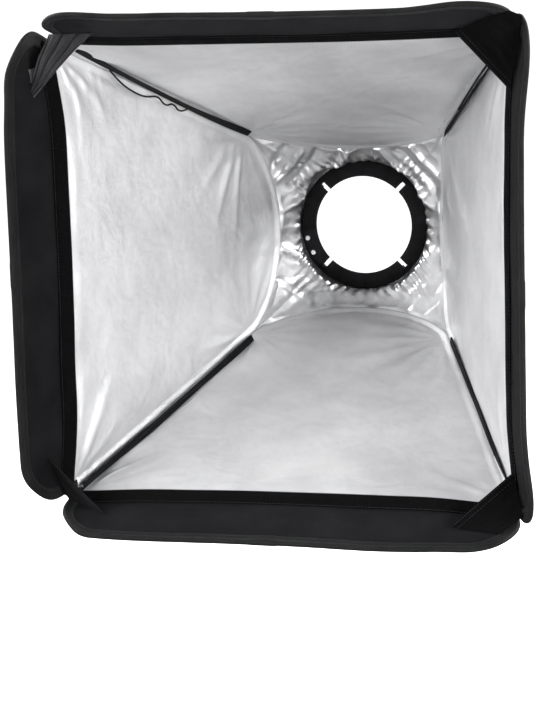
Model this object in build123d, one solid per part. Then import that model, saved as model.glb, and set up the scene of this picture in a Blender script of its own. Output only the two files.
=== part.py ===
from build123d import *

import math
import os

# A studio softbox on a tilting bracket, in millimetres. +Z is up and the box opens towards -Y.
# The origin is the mouth of the stand socket, on the socket's axis.

# --- the fabric box ---
RING_AXIS_Z = 240.0      # height of the ring's axis
CORNER_Y = -122.0        # plane of the four rear corners
CORNER_HALF = 120.0      # half the width between the rear corners
LIP_DEPTH = 290.0        # rear corners to the line where the silver lining ends
FRONT_DEPTH = 370.0      # rear corners to the front edge
WALL_SLOPE = 0.4         # how far a wall spreads for each millimetre forward
ARC_BULGE = 60.0         # how far a wall's curved rear edge runs back past its corners
LIP_SPREAD = 18.0        # how much wider the front edge's ends are than the lip line
SEAM_INSET = 4.3         # spring wire's centre line to the seam between two walls
FRONT_INSET = 3.0        # spring wire's centre line to the front edge
REAR_CORNER_RADIUS = 14.0
MIDDLE_CORNER_RADIUS = 70.0
FRONT_CORNER_RADIUS = 47.0
WIRE_RADIUS = 1.2
SLEEVE_BORE = 1.3
SLEEVE_RADIUS = 3.0
CLOTH_GAP = 0.05         # edge of the cloth to the sleeve
CLOTH_THICKNESS = 1.2
LINING_THICKNESS = 0.8
HOOK_BAND_WIDTH = 22.0
HOOK_BAND_THICKNESS = 1.2

STRAP_WIDTH = 8.0
STRAP_THICKNESS = 1.2
STRAP_INSET = 9.0        # seam to the strap's middle, along the diagonal
STRAP_START = 3.0        # depth of the strap's rear end
STRAP_END = 276.0        # depth of its front end
TAPE_WIDTH = 9.0
TAPE_THICKNESS = 0.8
TAPE_CLEARANCE = 0.3     # sleeves to the seam tape
GUSSET_REACH = 186.0     # how far from the middle of a lip the gusset is sewn to it
GUSSET_DEPTH = 328.0
GUSSET_LIFT = 3.5        # gusset's edge to the lip beside it
GUSSET_END = 230.0       # how far from the middle of a lip the gusset ends
GUSSET_THICKNESS = 1.0
CORD_RADIUS = 1.0

REAR_SKIN = 1.0
REAR_RIM_GAP = 3.5       # wall's wire to the rim of the rear panel
LABEL_SIZE = (13.0, 9.0, 0.8)   # along the lip, along the depth, thickness
LABEL_PLACE = (203.0, 347.0)    # along the lip from its middle, and v

# --- the ring ---
RING_RADIUS = 76.0
RING_HOLE = 57.5
RING_FRONT_Y = -30.0
RING_PLATE = 3.0
FLANGE_HOLE = 66.0
FLANGE_PLATE = 4.0
SKIRT_INNER = 72.0
SKIRT_REAR_Y = -17.1
NOTCH_WIDTH = 5.0
NOTCH_RADIUS = 69.5
SKIN_HOLE = 72.3         # the rear panel's edge, clamped between the two ring plates
RING_SCREW_CIRCLE = 69.0
RING_SCREW_COUNT = 6
CATCH_SCREW_CIRCLE = 69.8
CATCH_PIVOT_ANGLE = 208.0
CATCH_GUIDE_ANGLE = 193.0
CATCH_SWING = 16.0
CATCH_FRONT_Y = -14.8
CATCH_PLATE = 2.5
CATCH_BOSS = 3.0

# --- the bracket ---
HOOP_BORE = 76.06        # running fit on the ring
HOOP_RADIUS = 84.5
HOOP_FRONT_Y = -25.0
HOOP_REAR_Y = -15.0
HOOP_LIP_RADIUS = 73.0
HOOP_LIP_FRONT_Y = -16.9
LUG_HALF_WIDTH = 22.0
LUG_BOTTOM_Z = 128.0
LUG_TOP_Z = 160.0
LUG_REAR_Y = -17.0
BAR_HALF_WIDTH = 20.0
BAR_THICKNESS = 5.0
BAR_UNDERSIDE_Z = 101.0
BAR_REAR_Y = 112.0
BAR_TOP_Z = 154.0
BAR_BEND = 8.0
ARM_BOLT_X = 12.0
ARM_BOLT_Z = 140.0

CARRIAGE_Y = 56.0
CARRIAGE_HALF = (25.0, 20.0)
CARRIAGE_BOTTOM_Z = 96.0
CARRIAGE_TOP_Z = 112.0
CARRIAGE_CLEARANCE = 0.15
SHOE_HALF = 12.0
SHOE_SLOT_HALF = 9.4     # half of the standard accessory foot's slot
SHOE_MOUTH_HALF = 6.3
SHOE_FLOOR_Z = 115.0
SHOE_SLOT_HEIGHT = 2.2
SHOE_LIP = 1.8

# --- the tilt joint and the stand clamp ---
PIVOT_Z = 78.0
KNUCKLE_HALF = 7.0
KNUCKLE_RADIUS = 14.0
KNUCKLE_FLANGE = (16.0, 18.0, 5.0)
EAR_INNER_X = 7.2
CLAMP_HALF = 15.0
CLAMP_TOP_Z = 62.0
SOCKET_RADIUS = 8.05     # a 16 mm stand spigot with clearance
SOCKET_DEPTH = 45.0
TILT_BOLT_RADIUS = 4.0
BOLT_CLEARANCE = 0.06
WASHER_RADIUS = 8.0
WASHER_THICKNESS = 1.4
LEVER_HUB_RADIUS = 9.0
LEVER_HUB_END_X = 32.0
LEVER_THICKNESS = 5.5
LEVER_LENGTH = 45.0
STAND_SCREW_Z = 22.0
STAND_SCREW_RADIUS = 4.0
THREAD_CLEARANCE = 0.05

SLOPE_ANGLE = math.atan(WALL_SLOPE)
LIP_V = LIP_DEPTH / math.cos(SLOPE_ANGLE)
FRONT_V = FRONT_DEPTH / math.cos(SLOPE_ANGLE)
ARC_SAGITTA = ARC_BULGE / math.cos(SLOPE_ANGLE)
ARC_RADIUS = (CORNER_HALF**2 + ARC_SAGITTA**2) / (2 * ARC_SAGITTA)
ARC_CENTRE_V = ARC_RADIUS - ARC_SAGITTA
SEAM_RATE = math.sin(SLOPE_ANGLE)   # a wall's half width grows this much for each millimetre of v

BOX_AXIS = Axis((0, 0, RING_AXIS_Z), (0, 1, 0))
TOP_WALL = Plane(
    origin=(0, CORNER_Y, RING_AXIS_Z + CORNER_HALF),
    x_dir=(1, 0, 0),
    z_dir=(0, -math.sin(SLOPE_ANGLE), -math.cos(SLOPE_ANGLE)),
)
WALLS = {"top": 0, "right": 90, "bottom": 180, "left": 270}
CORNERS = {"top_right": (1, 1), "bottom_right": (1, -1), "bottom_left": (-1, -1), "top_left": (-1, 1)}


def save(shape, name):
    export_step(shape, f"parts/{name}.step")


def block(x_span, y_span, z_span):
    """Box between two coordinates on each axis."""
    spans = (x_span, y_span, z_span)
    sizes = [high - low for low, high in spans]
    return Pos(*[(low + high) / 2 for low, high in spans]) * Box(*sizes)


def rod(radius, start, direction, length):
    """Round bar from a point along a direction."""
    return Plane(origin=start, z_dir=direction) * extrude(Circle(radius), length)


def rod_x(radius, x_span, y, z):
    return rod(radius, (x_span[0], y, z), (1, 0, 0), x_span[1] - x_span[0])


def rod_y(radius, y_span, x=0.0, z=RING_AXIS_Z):
    return rod(radius, (x, y_span[0], z), (0, 1, 0), y_span[1] - y_span[0])


def rod_z(radius, z_span, x=0.0, y=0.0):
    return rod(radius, (x, y, z_span[0]), (0, 0, 1), z_span[1] - z_span[0])


def front_plate(sketch, y_span):
    """A sketch seen from the front, X to the right and Z up from the ring's axis, made solid along Y."""
    plane = Plane(origin=(0, y_span[1], RING_AXIS_Z), x_dir=(1, 0, 0), z_dir=(0, -1, 0))
    return plane * extrude(sketch, y_span[1] - y_span[0])


def on_ring(radius, angle):
    """Point (x, z) at an angle seen from the front, from +X towards +Z."""
    turn = math.radians(angle)
    return radius * math.cos(turn), RING_AXIS_Z + radius * math.sin(turn)


# --- walls ---
def seam_half(v, inset):
    """Half width of a wall at v, moved in from the seam."""
    return CORNER_HALF + SEAM_RATE * v - inset / math.cos(math.atan(SEAM_RATE))


def loop_wire(inset):
    """Closed outline of a wall along its spring wire, moved inwards by inset."""
    radius = ARC_RADIUS - inset
    corner = REAR_CORNER_RADIUS - inset
    side_angle = math.atan(SEAM_RATE)
    # centre of the rounded rear corner: inside the side line and inside the rear arc
    side_at_zero = seam_half(0, SEAM_INSET + inset + corner)
    a = 1 + SEAM_RATE**2
    b = 2 * side_at_zero * SEAM_RATE - 2 * ARC_CENTRE_V
    c = side_at_zero**2 + ARC_CENTRE_V**2 - (radius - corner) ** 2
    v = (-b - math.sqrt(b * b - 4 * a * c)) / (2 * a)
    centre = Vector(side_at_zero + SEAM_RATE * v, v)
    to_side = Vector(math.cos(side_angle), -math.sin(side_angle))
    to_arc = (centre - Vector(0, ARC_CENTRE_V)).normalized()
    on_side = centre + to_side * corner
    on_arc = centre + to_arc * corner
    between = centre + (to_side + to_arc).normalized() * corner
    mirrored = [Vector(-p.X, p.Y) for p in (on_side, between, on_arc)]

    lip_half = seam_half(LIP_V, SEAM_INSET + inset)
    front = FRONT_V - FRONT_INSET - inset
    rear_arc = ThreePointArc(mirrored[2], Vector(0, ARC_CENTRE_V - radius), on_arc)
    right_corner = ThreePointArc(on_arc, between, on_side)
    left_corner = ThreePointArc(mirrored[0], mirrored[1], mirrored[2])
    middle_radius = MIDDLE_CORNER_RADIUS - inset
    front_radius = FRONT_CORNER_RADIUS - inset
    sides = FilletPolyline(
        on_side,
        (lip_half, LIP_V),
        (lip_half + LIP_SPREAD, front),
        (-lip_half - LIP_SPREAD, front),
        (-lip_half, LIP_V),
        mirrored[0],
        radius=[middle_radius, front_radius, front_radius, middle_radius],
    )
    return Wire([rear_arc, right_corner, *sides.edges(), left_corner])


def wall_sheet(v_span, w_span):
    """Part of a wall between two values of v, as a sheet between two heights over the wall's plane."""
    face = make_face(loop_wire(SLEEVE_RADIUS + CLOTH_GAP).edges())
    low, high = v_span
    band = Pos(0, (low + high) / 2) * Rectangle(4 * FRONT_V, high - low)
    sheet = extrude(face & band, w_span[1] - w_span[0], dir=(0, 0, 1))
    return TOP_WALL * Pos(0, 0, w_span[0]) * sheet


def wall_tube(section):
    """A section swept round a wall's spring wire."""
    path = loop_wire(0)
    return TOP_WALL * sweep(Plane(origin=path @ 0, z_dir=path % 0) * section, path=path)


def make_walls():
    whole = (-FRONT_V, 2 * FRONT_V)
    pieces = {
        "spring_wire": wall_tube(Circle(WIRE_RADIUS)),
        "binding": wall_tube(Circle(SLEEVE_RADIUS) - Circle(SLEEVE_BORE)),
        "cloth": wall_sheet(whole, (-CLOTH_THICKNESS, 0)),
        "lining": wall_sheet((whole[0], LIP_V), (0, LINING_THICKNESS)),
        "hook_band": wall_sheet((LIP_V, LIP_V + HOOK_BAND_WIDTH), (0, HOOK_BAND_THICKNESS)),
    }
    for wall, angle in WALLS.items():
        for piece, shape in pieces.items():
            save(shape.rotate(BOX_AXIS, angle), f"{piece}_{wall}")


# --- corners ---
def seam_point(signs, depth, inset=0.0):
    """Point on a corner's seam, or inside it along the diagonal."""
    half = CORNER_HALF + WALL_SLOPE * depth - inset / math.sqrt(2)
    return Vector(signs[0] * half, CORNER_Y - depth, RING_AXIS_Z + signs[1] * half)


def corner_strip(signs, depths, inset, width, thickness):
    """Flat strip along a corner's seam, its width across the corner."""
    start, end = (seam_point(signs, depth, inset) for depth in depths)
    across = Vector(signs[0], 0, -signs[1])
    plane = Plane(origin=start, x_dir=across, z_dir=end - start)
    return plane * extrude(Rectangle(width, thickness), (end - start).length)


def make_gusset(signs):
    """Cloth across the corner between two lips, square to the box's axis, without its outer tip."""
    height = CORNER_HALF + WALL_SLOPE * GUSSET_DEPTH - GUSSET_LIFT / math.cos(SLOPE_ANGLE)
    corners = [(GUSSET_REACH, height), (GUSSET_END, height), (height, GUSSET_END), (height, GUSSET_REACH)]
    outline = Polyline(*[(signs[0] * u, signs[1] * v) for u, v in corners], close=True)
    middle = CORNER_Y - GUSSET_DEPTH
    half = GUSSET_THICKNESS / 2
    return front_plate(make_face(outline.edges()), (middle - half, middle + half))


def route_radii(points):
    """Bend radii that use 0.45 of the shorter run at each corner of a route."""
    radii = []
    for before, here, after in zip(points, points[1:], points[2:]):
        run_in, run_out = here - before, after - here
        half_turn = math.radians(run_in.get_angle(run_out)) / 2
        radii.append(0.45 * min(run_in.length, run_out.length) / math.tan(half_turn))
    return radii


# Routes of the elastic loops beside their straps: distance forward, rise from the strap, and sideways shift.
HANGING_LOOP = [
    (92, 2.2, 0), (112, 6, 0.8), (136, 10, 1.4), (160, 12, 1.6), (184, 11.4, 1.2), (207, 8, 0.6),
    (226, 2.2, 0),
]
RESTING_LOOP = [
    (92, 2.2, 0), (112, 3.4, 1.2), (136, 4.2, 2.6), (160, 4.0, 3.2), (184, 4.2, 2.2), (207, 3.2, 1),
    (226, 2.2, 0),
]
SCALLOPED_LOOP = [
    (103, 2.2, 0.4), (115, 8.2, 7.4), (127, 2.6, 1.4), (139, 8.6, 7.8), (152, 2.6, 1.4), (171, 8.4, 7.8),
    (192, 9.8, 9.2), (211, 7.6, 6.6), (227, 2.2, 0.4),
]
LOOP_ROUTES = {
    "top_right": HANGING_LOOP,
    "bottom_right": RESTING_LOOP,
    "bottom_left": RESTING_LOOP,
    "top_left": SCALLOPED_LOOP,
}


def loop_route(corner, signs):
    """Points of the loop: it hangs under an upper strap and lies on a lower one."""
    route = []
    for depth, lift, shift in LOOP_ROUTES[corner]:
        point = seam_point(signs, depth, STRAP_INSET)
        inward = Vector(-signs[0] * lift, 0, -signs[1] * lift) / math.sqrt(2)
        across = Vector(signs[0] * shift, 0, -signs[1] * shift) / math.sqrt(2)
        route.append(point + inward + across)
    return route


def make_loop(corner, signs):
    route = loop_route(corner, signs)
    radii = route_radii(route)
    path = FilletPolyline(*route, radius=radii)
    tube = sweep(Plane(origin=path @ 0, z_dir=path % 0) * Circle(CORD_RADIUS), path=path)
    expected = math.pi * CORD_RADIUS**2 * path.length
    print(f"loop {corner}: length {path.length:.1f}, radii {[round(r) for r in radii]},",
          f"volume {tube.volume:.1f} of {expected:.1f}")
    return tube


def make_corners():
    half_angle = math.acos(math.sin(SLOPE_ANGLE) ** 2) / 2
    tape_rise = SLEEVE_RADIUS - SEAM_INSET * math.sin(half_angle) + TAPE_CLEARANCE + TAPE_THICKNESS / 2
    for corner, signs in CORNERS.items():
        strap = corner_strip(signs, (STRAP_START, STRAP_END), STRAP_INSET, STRAP_WIDTH, STRAP_THICKNESS)
        tape = corner_strip(signs, (0, LIP_DEPTH), -tape_rise, TAPE_WIDTH, TAPE_THICKNESS)
        save(strap, f"corner_strap_{corner}")
        save(tape, f"seam_tape_{corner}")
        save(make_gusset(signs), f"gusset_{corner}")
        save(make_loop(corner, signs), f"diffuser_loop_{corner}")


def make_label():
    """Small blank tab sewn flat on the left lip, near its upper end."""
    tab = TOP_WALL * Pos(*LABEL_PLACE, LABEL_SIZE[2] / 2 + 0.1) * Box(*LABEL_SIZE)
    return tab.rotate(BOX_AXIS, WALLS["left"])


# --- rear panel ---
def make_rear_panel():
    """Closed skin of ruled faces between the walls' rear arcs and the ring, clamped in the ring."""
    rim_radius = ARC_RADIUS + REAR_RIM_GAP
    clamp_front_y = RING_FRONT_Y + RING_PLATE
    clamp_rear_y = clamp_front_y + REAR_SKIN

    def rim(lift):
        """Rear arc of the top wall, from one diagonal to the other, at a height inside the wall."""
        half = CORNER_HALF - lift * math.cos(SLOPE_ANGLE)
        a = 1 + SEAM_RATE**2
        b = 2 * half * SEAM_RATE - 2 * ARC_CENTRE_V
        c = half**2 + ARC_CENTRE_V**2 - rim_radius**2
        v = (-b - math.sqrt(b * b - 4 * a * c)) / (2 * a)
        u = half + SEAM_RATE * v
        arc = ThreePointArc((-u, v), (0, ARC_CENTRE_V - rim_radius), (u, v))
        return (TOP_WALL * Pos(0, 0, lift) * arc).edge()

    def quarter(radius, y):
        """Upper quarter of a circle round the ring's axis."""
        across, up = radius * math.cos(math.pi / 4), RING_AXIS_Z + radius * math.sin(math.pi / 4)
        arc = ThreePointArc((-across, y, up), (0, y, RING_AXIS_Z + radius), (across, y, up))
        return arc.edge()

    section = [
        rim(REAR_SKIN / 2),
        quarter(RING_RADIUS + 1.0, clamp_front_y),
        quarter(SKIN_HOLE, clamp_front_y),
        quarter(SKIN_HOLE, clamp_rear_y),
        quarter(RING_RADIUS + 2.2, clamp_rear_y),
        rim(-REAR_SKIN / 2),
    ]
    neighbours = zip(section, section[1:] + section[:1])
    gore = [Face.make_surface_from_curves(first, second) for first, second in neighbours]
    faces = [face.rotate(BOX_AXIS, angle) for angle in WALLS.values() for face in gore]
    return Solid(Shell(faces))


# --- ring ---
def notched(ring, y_span):
    """Cuts the four notches between the diagonals of a ring."""
    for angle in (45, 135, 225, 315):
        middle = NOTCH_RADIUS / 2
        slot = Rot(0, 0, angle) * Pos(middle, 0) * Rectangle(NOTCH_RADIUS, NOTCH_WIDTH)
        ring -= front_plate(slot, y_span)
    return ring


def ring_screw_places():
    return [on_ring(RING_SCREW_CIRCLE, 360 * i / RING_SCREW_COUNT) for i in range(RING_SCREW_COUNT)]


def catch_screw_places():
    return [on_ring(CATCH_SCREW_CIRCLE, angle) for angle in (CATCH_PIVOT_ANGLE, CATCH_GUIDE_ANGLE)]


def make_speed_ring():
    span = (RING_FRONT_Y, RING_FRONT_Y + RING_PLATE)
    ring = rod_y(RING_RADIUS, span)
    ring = fillet(ring.edges().group_by(Axis.Y)[0], 1.0)
    ring -= rod_y(RING_HOLE, span)
    ring = notched(ring, span)
    for x, z in catch_screw_places():
        ring -= rod_y(1.55, span, x, z)
    for x, z in ring_screw_places():
        ring -= rod_y(1.25, (span[0] + 1.2, span[1]), x, z)
    return ring


def make_rear_ring():
    front = RING_FRONT_Y + RING_PLATE + REAR_SKIN
    flange_rear = front + FLANGE_PLATE
    ring = rod_y(RING_RADIUS, (front, SKIRT_REAR_Y)) - rod_y(SKIRT_INNER, (flange_rear, SKIRT_REAR_Y))
    ring -= rod_y(FLANGE_HOLE, (front, flange_rear))
    ring = notched(ring, (front, flange_rear))
    for x, z in catch_screw_places():
        ring += rod_y(CATCH_BOSS, (flange_rear - 1, CATCH_FRONT_Y - 0.1), x, z)
    for x, z in catch_screw_places():
        ring -= rod_y(1.55, (front, CATCH_FRONT_Y), x, z)
    for x, z in ring_screw_places():
        ring -= rod_y(1.25, (front, flange_rear), x, z)
    return ring


def make_ring_screws():
    flange_rear = RING_FRONT_Y + RING_PLATE + REAR_SKIN + FLANGE_PLATE
    screws = []
    for x, z in ring_screw_places():
        shank = rod_y(1.2, (RING_FRONT_Y + 1.4, flange_rear), x, z)
        head = rod_y(2.4, (flange_rear, flange_rear + 1.6), x, z)
        socket_plane = Plane(origin=(x, flange_rear + 0.7, z), z_dir=(0, 1, 0))
        socket = socket_plane * extrude(RegularPolygon(1.2, 6), 1.5)
        screws.append(shank + head - socket)
    return Compound(screws)


def make_catch_screws():
    lever_rear = CATCH_FRONT_Y + CATCH_PLATE
    screws = []
    for x, z in catch_screw_places():
        shank = rod_y(1.5, (RING_FRONT_Y, lever_rear + 2.6), x, z)
        head = rod_y(3.0, (RING_FRONT_Y - 1.2, RING_FRONT_Y), x, z)
        head = fillet(head.edges().group_by(Axis.Y)[0], 0.7)
        slot = block((x - 2.2, x + 2.2), (RING_FRONT_Y - 1.3, RING_FRONT_Y - 0.7), (z - 0.35, z + 0.35))
        nut_plane = Plane(origin=(x, lever_rear + 0.2, z), z_dir=(0, 1, 0))
        nut = nut_plane * extrude(RegularPolygon(3.0, 6), 2.0)
        screws.append(shank + head + nut - slot)
    return Compound(screws)


def make_ring_catch():
    """Lever behind the ring whose nose holds the ring in the hoop."""
    span = (CATCH_FRONT_Y, CATCH_FRONT_Y + CATCH_PLATE)
    pivot, guide = (Vector(x, z - RING_AXIS_Z) for x, z in catch_screw_places())
    arm_angles = (171, CATCH_PIVOT_ANGLE)
    arm = SlotArc(CenterArc((0, 0), 67, arm_angles[0], arm_angles[1] - arm_angles[0]), 9)
    nose = SlotOverall(18, 7)
    nose = Rot(0, 0, 173) * Pos(73, 0) * nose
    reach = (guide - pivot).length
    guide_angle = math.degrees(math.atan2(guide.Y - pivot.Y, guide.X - pivot.X))
    track = CenterArc((pivot.X, pivot.Y), reach, guide_angle, CATCH_SWING)
    outline = arm + nose + Pos(pivot.X, pivot.Y) * Circle(5) + SlotArc(track, 8)
    outline -= Pos(pivot.X, pivot.Y) * Circle(1.6)
    outline -= SlotArc(track, 3.3)
    lever = front_plate(outline, span)
    tab_profile = Rot(0, 0, 173) * Pos(64.2, 3) * Rectangle(2.4, 14)
    tab = front_plate(tab_profile, (span[1] - 0.5, span[1] + 9))
    return lever + fillet(tab.edges().filter_by(Axis.Y), 0.8)


# --- bracket ---
def make_hoop():
    hoop = rod_y(HOOP_RADIUS, (HOOP_FRONT_Y, HOOP_REAR_Y))
    hoop += block((-LUG_HALF_WIDTH, LUG_HALF_WIDTH), (HOOP_FRONT_Y, LUG_REAR_Y), (LUG_BOTTOM_Z, LUG_TOP_Z))
    hoop -= rod_y(HOOP_BORE, (HOOP_FRONT_Y, HOOP_LIP_FRONT_Y))
    hoop -= rod_y(HOOP_LIP_RADIUS, (HOOP_FRONT_Y, HOOP_REAR_Y))
    feet = hoop.edges().filter_by(Axis.Y).group_by(Axis.Z)[0]
    hoop = fillet(feet, 6)
    for x in (-ARM_BOLT_X, ARM_BOLT_X):
        hoop -= rod_y(3.05, (HOOP_FRONT_Y, LUG_REAR_Y), x, ARM_BOLT_Z)
    return hoop


def make_arm():
    """Flat bar, upright behind the hoop's lug and then level to the rear."""
    bottom, top = BAR_UNDERSIDE_Z, BAR_UNDERSIDE_Z + BAR_THICKNESS
    rear_of_upright = LUG_REAR_Y + BAR_THICKNESS
    outline = Polyline(
        (LUG_REAR_Y, BAR_TOP_Z),
        (LUG_REAR_Y, bottom),
        (BAR_REAR_Y, bottom),
        (BAR_REAR_Y, top),
        (rear_of_upright, top),
        (rear_of_upright, BAR_TOP_Z),
        close=True,
    )
    profile = make_face(outline.edges())
    outer = [v for v in profile.vertices() if v.X == LUG_REAR_Y and v.Y == bottom]
    profile = fillet(outer, BAR_BEND)
    inner = [v for v in profile.vertices() if abs(v.X - rear_of_upright) < 0.01 and abs(v.Y - top) < 0.01]
    profile = fillet(inner, BAR_BEND - BAR_THICKNESS)
    bar = Plane.YZ * extrude(profile, BAR_HALF_WIDTH, both=True)
    tips = bar.edges().filter_by(Axis.Z).group_by(Axis.Y)[-1]
    bar = fillet(tips + bar.edges().filter_by(Axis.Y).group_by(Axis.Z)[-1], 5)
    for x in (-ARM_BOLT_X, ARM_BOLT_X):
        bar -= rod_y(3.05, (LUG_REAR_Y, rear_of_upright), x, ARM_BOLT_Z)
    for x, y in knuckle_screw_places():
        bar -= rod_z(2.55, (bottom, top), x, y)
    return bar


def make_arm_bolts():
    rear_of_upright = LUG_REAR_Y + BAR_THICKNESS
    bolts = []
    for x in (-ARM_BOLT_X, ARM_BOLT_X):
        shank = rod_y(3.0, (HOOP_FRONT_Y, rear_of_upright + 5), x, ARM_BOLT_Z)
        head = rod_y(5.0, (HOOP_FRONT_Y - 3, HOOP_FRONT_Y), x, ARM_BOLT_Z)
        head = fillet(head.edges().group_by(Axis.Y)[0], 1.2)
        nut_plane = Plane(origin=(x, rear_of_upright, ARM_BOLT_Z), z_dir=(0, 1, 0))
        nut = nut_plane * extrude(RegularPolygon(5.8, 6), 4)
        bolts.append(shank + head + nut)
    return Compound(bolts)


def make_carriage():
    half_x, half_y = CARRIAGE_HALF
    y_span = (CARRIAGE_Y - half_y, CARRIAGE_Y + half_y)
    carriage = block((-half_x, half_x), y_span, (CARRIAGE_BOTTOM_Z, CARRIAGE_TOP_Z))
    carriage = fillet(carriage.edges().filter_by(Axis.Z), 4)
    carriage = chamfer(carriage.edges().group_by(Axis.Z)[-1], 1)
    play = CARRIAGE_CLEARANCE
    bar_half = BAR_HALF_WIDTH + play
    bar_z = (BAR_UNDERSIDE_Z - play, BAR_UNDERSIDE_Z + BAR_THICKNESS + play)
    carriage -= block((-bar_half, bar_half), y_span, bar_z)
    screw_z = BAR_UNDERSIDE_Z + BAR_THICKNESS / 2
    carriage -= rod_x(2.55, (-half_x, -bar_half), CARRIAGE_Y, screw_z)
    for y in shoe_screw_places():
        carriage -= rod_z(1.55, (bar_z[1], CARRIAGE_TOP_Z), 0, y)
    return carriage


def shoe_screw_places():
    return (CARRIAGE_Y - 6, CARRIAGE_Y + 6)


def make_cold_shoe():
    y_span = (CARRIAGE_Y - SHOE_HALF, CARRIAGE_Y + SHOE_HALF)
    slot_top = SHOE_FLOOR_Z + SHOE_SLOT_HEIGHT
    top = slot_top + SHOE_LIP
    shoe = block((-SHOE_HALF, SHOE_HALF), y_span, (CARRIAGE_TOP_Z, top))
    shoe = fillet(shoe.edges().filter_by(Axis.Z), 1.5)
    open_span = (y_span[0] + 2.5, y_span[1])
    shoe -= block((-SHOE_SLOT_HALF, SHOE_SLOT_HALF), open_span, (SHOE_FLOOR_Z, slot_top))
    shoe -= block((-SHOE_MOUTH_HALF, SHOE_MOUTH_HALF), open_span, (slot_top, top))
    for y in shoe_screw_places():
        shoe -= rod_z(1.55, (CARRIAGE_TOP_Z, SHOE_FLOOR_Z), 0, y)
        shoe -= rod_z(2.7, (SHOE_FLOOR_Z - 1.5, SHOE_FLOOR_Z), 0, y)
    return shoe


def make_shoe_screws():
    screws = []
    for y in shoe_screw_places():
        shank = rod_z(1.5, (CARRIAGE_TOP_Z - 5, SHOE_FLOOR_Z - 1.5), 0, y)
        head = rod_z(2.6, (SHOE_FLOOR_Z - 1.5, SHOE_FLOOR_Z - 0.1), 0, y)
        slot = block((-1.8, 1.8), (y - 0.35, y + 0.35), (SHOE_FLOOR_Z - 0.7, SHOE_FLOOR_Z))
        screws.append(shank + head - slot)
    return Compound(screws)


def fluted_knob(radius, thickness, flutes):
    """Round knob with grip flutes, standing on the XY plane."""
    profile = Circle(radius)
    for i in range(flutes):
        profile -= Rot(0, 0, 360 * i / flutes) * Pos(radius + 0.6, 0) * Circle(1.6)
    knob = extrude(profile, thickness)
    return chamfer(knob.edges().group_by(Axis.Z)[-1], 0.6)


def make_shoe_thumbscrew():
    z = BAR_UNDERSIDE_Z + BAR_THICKNESS / 2
    half_x = CARRIAGE_HALF[0]
    shank = rod_x(2.5, (-half_x - 2, -BAR_HALF_WIDTH - 0.25), CARRIAGE_Y, z)
    knob_plane = Plane(origin=(-half_x - 1, CARRIAGE_Y, z), z_dir=(-1, 0, 0))
    return shank + knob_plane * fluted_knob(8, 9, 12)


def knuckle_screw_places():
    return [(x, y) for x in (-11, 11) for y in (-4, 12)]


def make_knuckle():
    half_x, half_y, thickness = KNUCKLE_FLANGE
    flange_bottom = BAR_UNDERSIDE_Z - thickness
    flange = block((-half_x, half_x), (-half_y, half_y), (flange_bottom, BAR_UNDERSIDE_Z))
    flange = fillet(flange.edges().filter_by(Axis.Z), 4)
    side = (-KNUCKLE_HALF, KNUCKLE_HALF)
    knuckle = flange + block(side, (-KNUCKLE_RADIUS, KNUCKLE_RADIUS), (PIVOT_Z, flange_bottom))
    knuckle += rod_x(KNUCKLE_RADIUS, side, 0, PIVOT_Z)
    knuckle -= rod_x(TILT_BOLT_RADIUS + BOLT_CLEARANCE, side, 0, PIVOT_Z)
    for x, y in knuckle_screw_places():
        knuckle -= rod_z(2.55, (flange_bottom, BAR_UNDERSIDE_Z), x, y)
    return knuckle


def make_knuckle_screws():
    top = BAR_UNDERSIDE_Z + BAR_THICKNESS
    flange_bottom = BAR_UNDERSIDE_Z - KNUCKLE_FLANGE[2]
    screws = []
    for x, y in knuckle_screw_places():
        head = fillet(rod_z(4.2, (top, top + 2.6), x, y).edges().group_by(Axis.Z)[-1], 1)
        socket = Pos(x, y, top + 1.2) * extrude(RegularPolygon(2.0, 6), 2)
        screws.append(rod_z(2.5, (flange_bottom + 0.5, top), x, y) + head - socket)
    return Compound(screws)


# --- stand clamp ---
def make_clamp():
    column = block((-CLAMP_HALF, CLAMP_HALF), (-CLAMP_HALF, CLAMP_HALF), (0, CLAMP_TOP_Z))
    for side in ((-CLAMP_HALF, -EAR_INNER_X), (EAR_INNER_X, CLAMP_HALF)):
        column += block(side, (-CLAMP_HALF, CLAMP_HALF), (CLAMP_TOP_Z - 2, PIVOT_Z))
        column += rod_x(CLAMP_HALF, side, 0, PIVOT_Z)
    uprights = [e for e in column.edges().filter_by(Axis.Z) if abs(e.center().X) > CLAMP_HALF - 0.1]
    column = fillet(uprights, 3)
    boss_front = -CLAMP_HALF - 6
    column += rod_y(9.5, (boss_front, -CLAMP_HALF + 1), 0, STAND_SCREW_Z)
    column -= rod_z(SOCKET_RADIUS, (0, SOCKET_DEPTH))
    hole = STAND_SCREW_RADIUS + THREAD_CLEARANCE
    column -= rod_y(hole, (boss_front, 0), 0, STAND_SCREW_Z)
    column -= rod_x(TILT_BOLT_RADIUS + BOLT_CLEARANCE, (-CLAMP_HALF, CLAMP_HALF), 0, PIVOT_Z)
    return column


def make_tilt_bolt():
    washer_end = CLAMP_HALF + WASHER_THICKNESS + 0.1
    bolt = rod_x(TILT_BOLT_RADIUS, (-washer_end, LEVER_HUB_END_X - 5), 0, PIVOT_Z)
    head_plane = Plane(origin=(-washer_end, 0, PIVOT_Z), z_dir=(-1, 0, 0))
    return bolt + head_plane * extrude(RegularPolygon(7.5, 6), 5.3)


def make_washers():
    washers = []
    for side in (-1, 1):
        faces = sorted((side * (CLAMP_HALF + 0.05), side * (CLAMP_HALF + 0.05 + WASHER_THICKNESS)))
        washer = rod_x(WASHER_RADIUS, faces, 0, PIVOT_Z)
        washers.append(washer - rod_x(TILT_BOLT_RADIUS + BOLT_CLEARANCE, faces, 0, PIVOT_Z))
    return Compound(washers)


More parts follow.
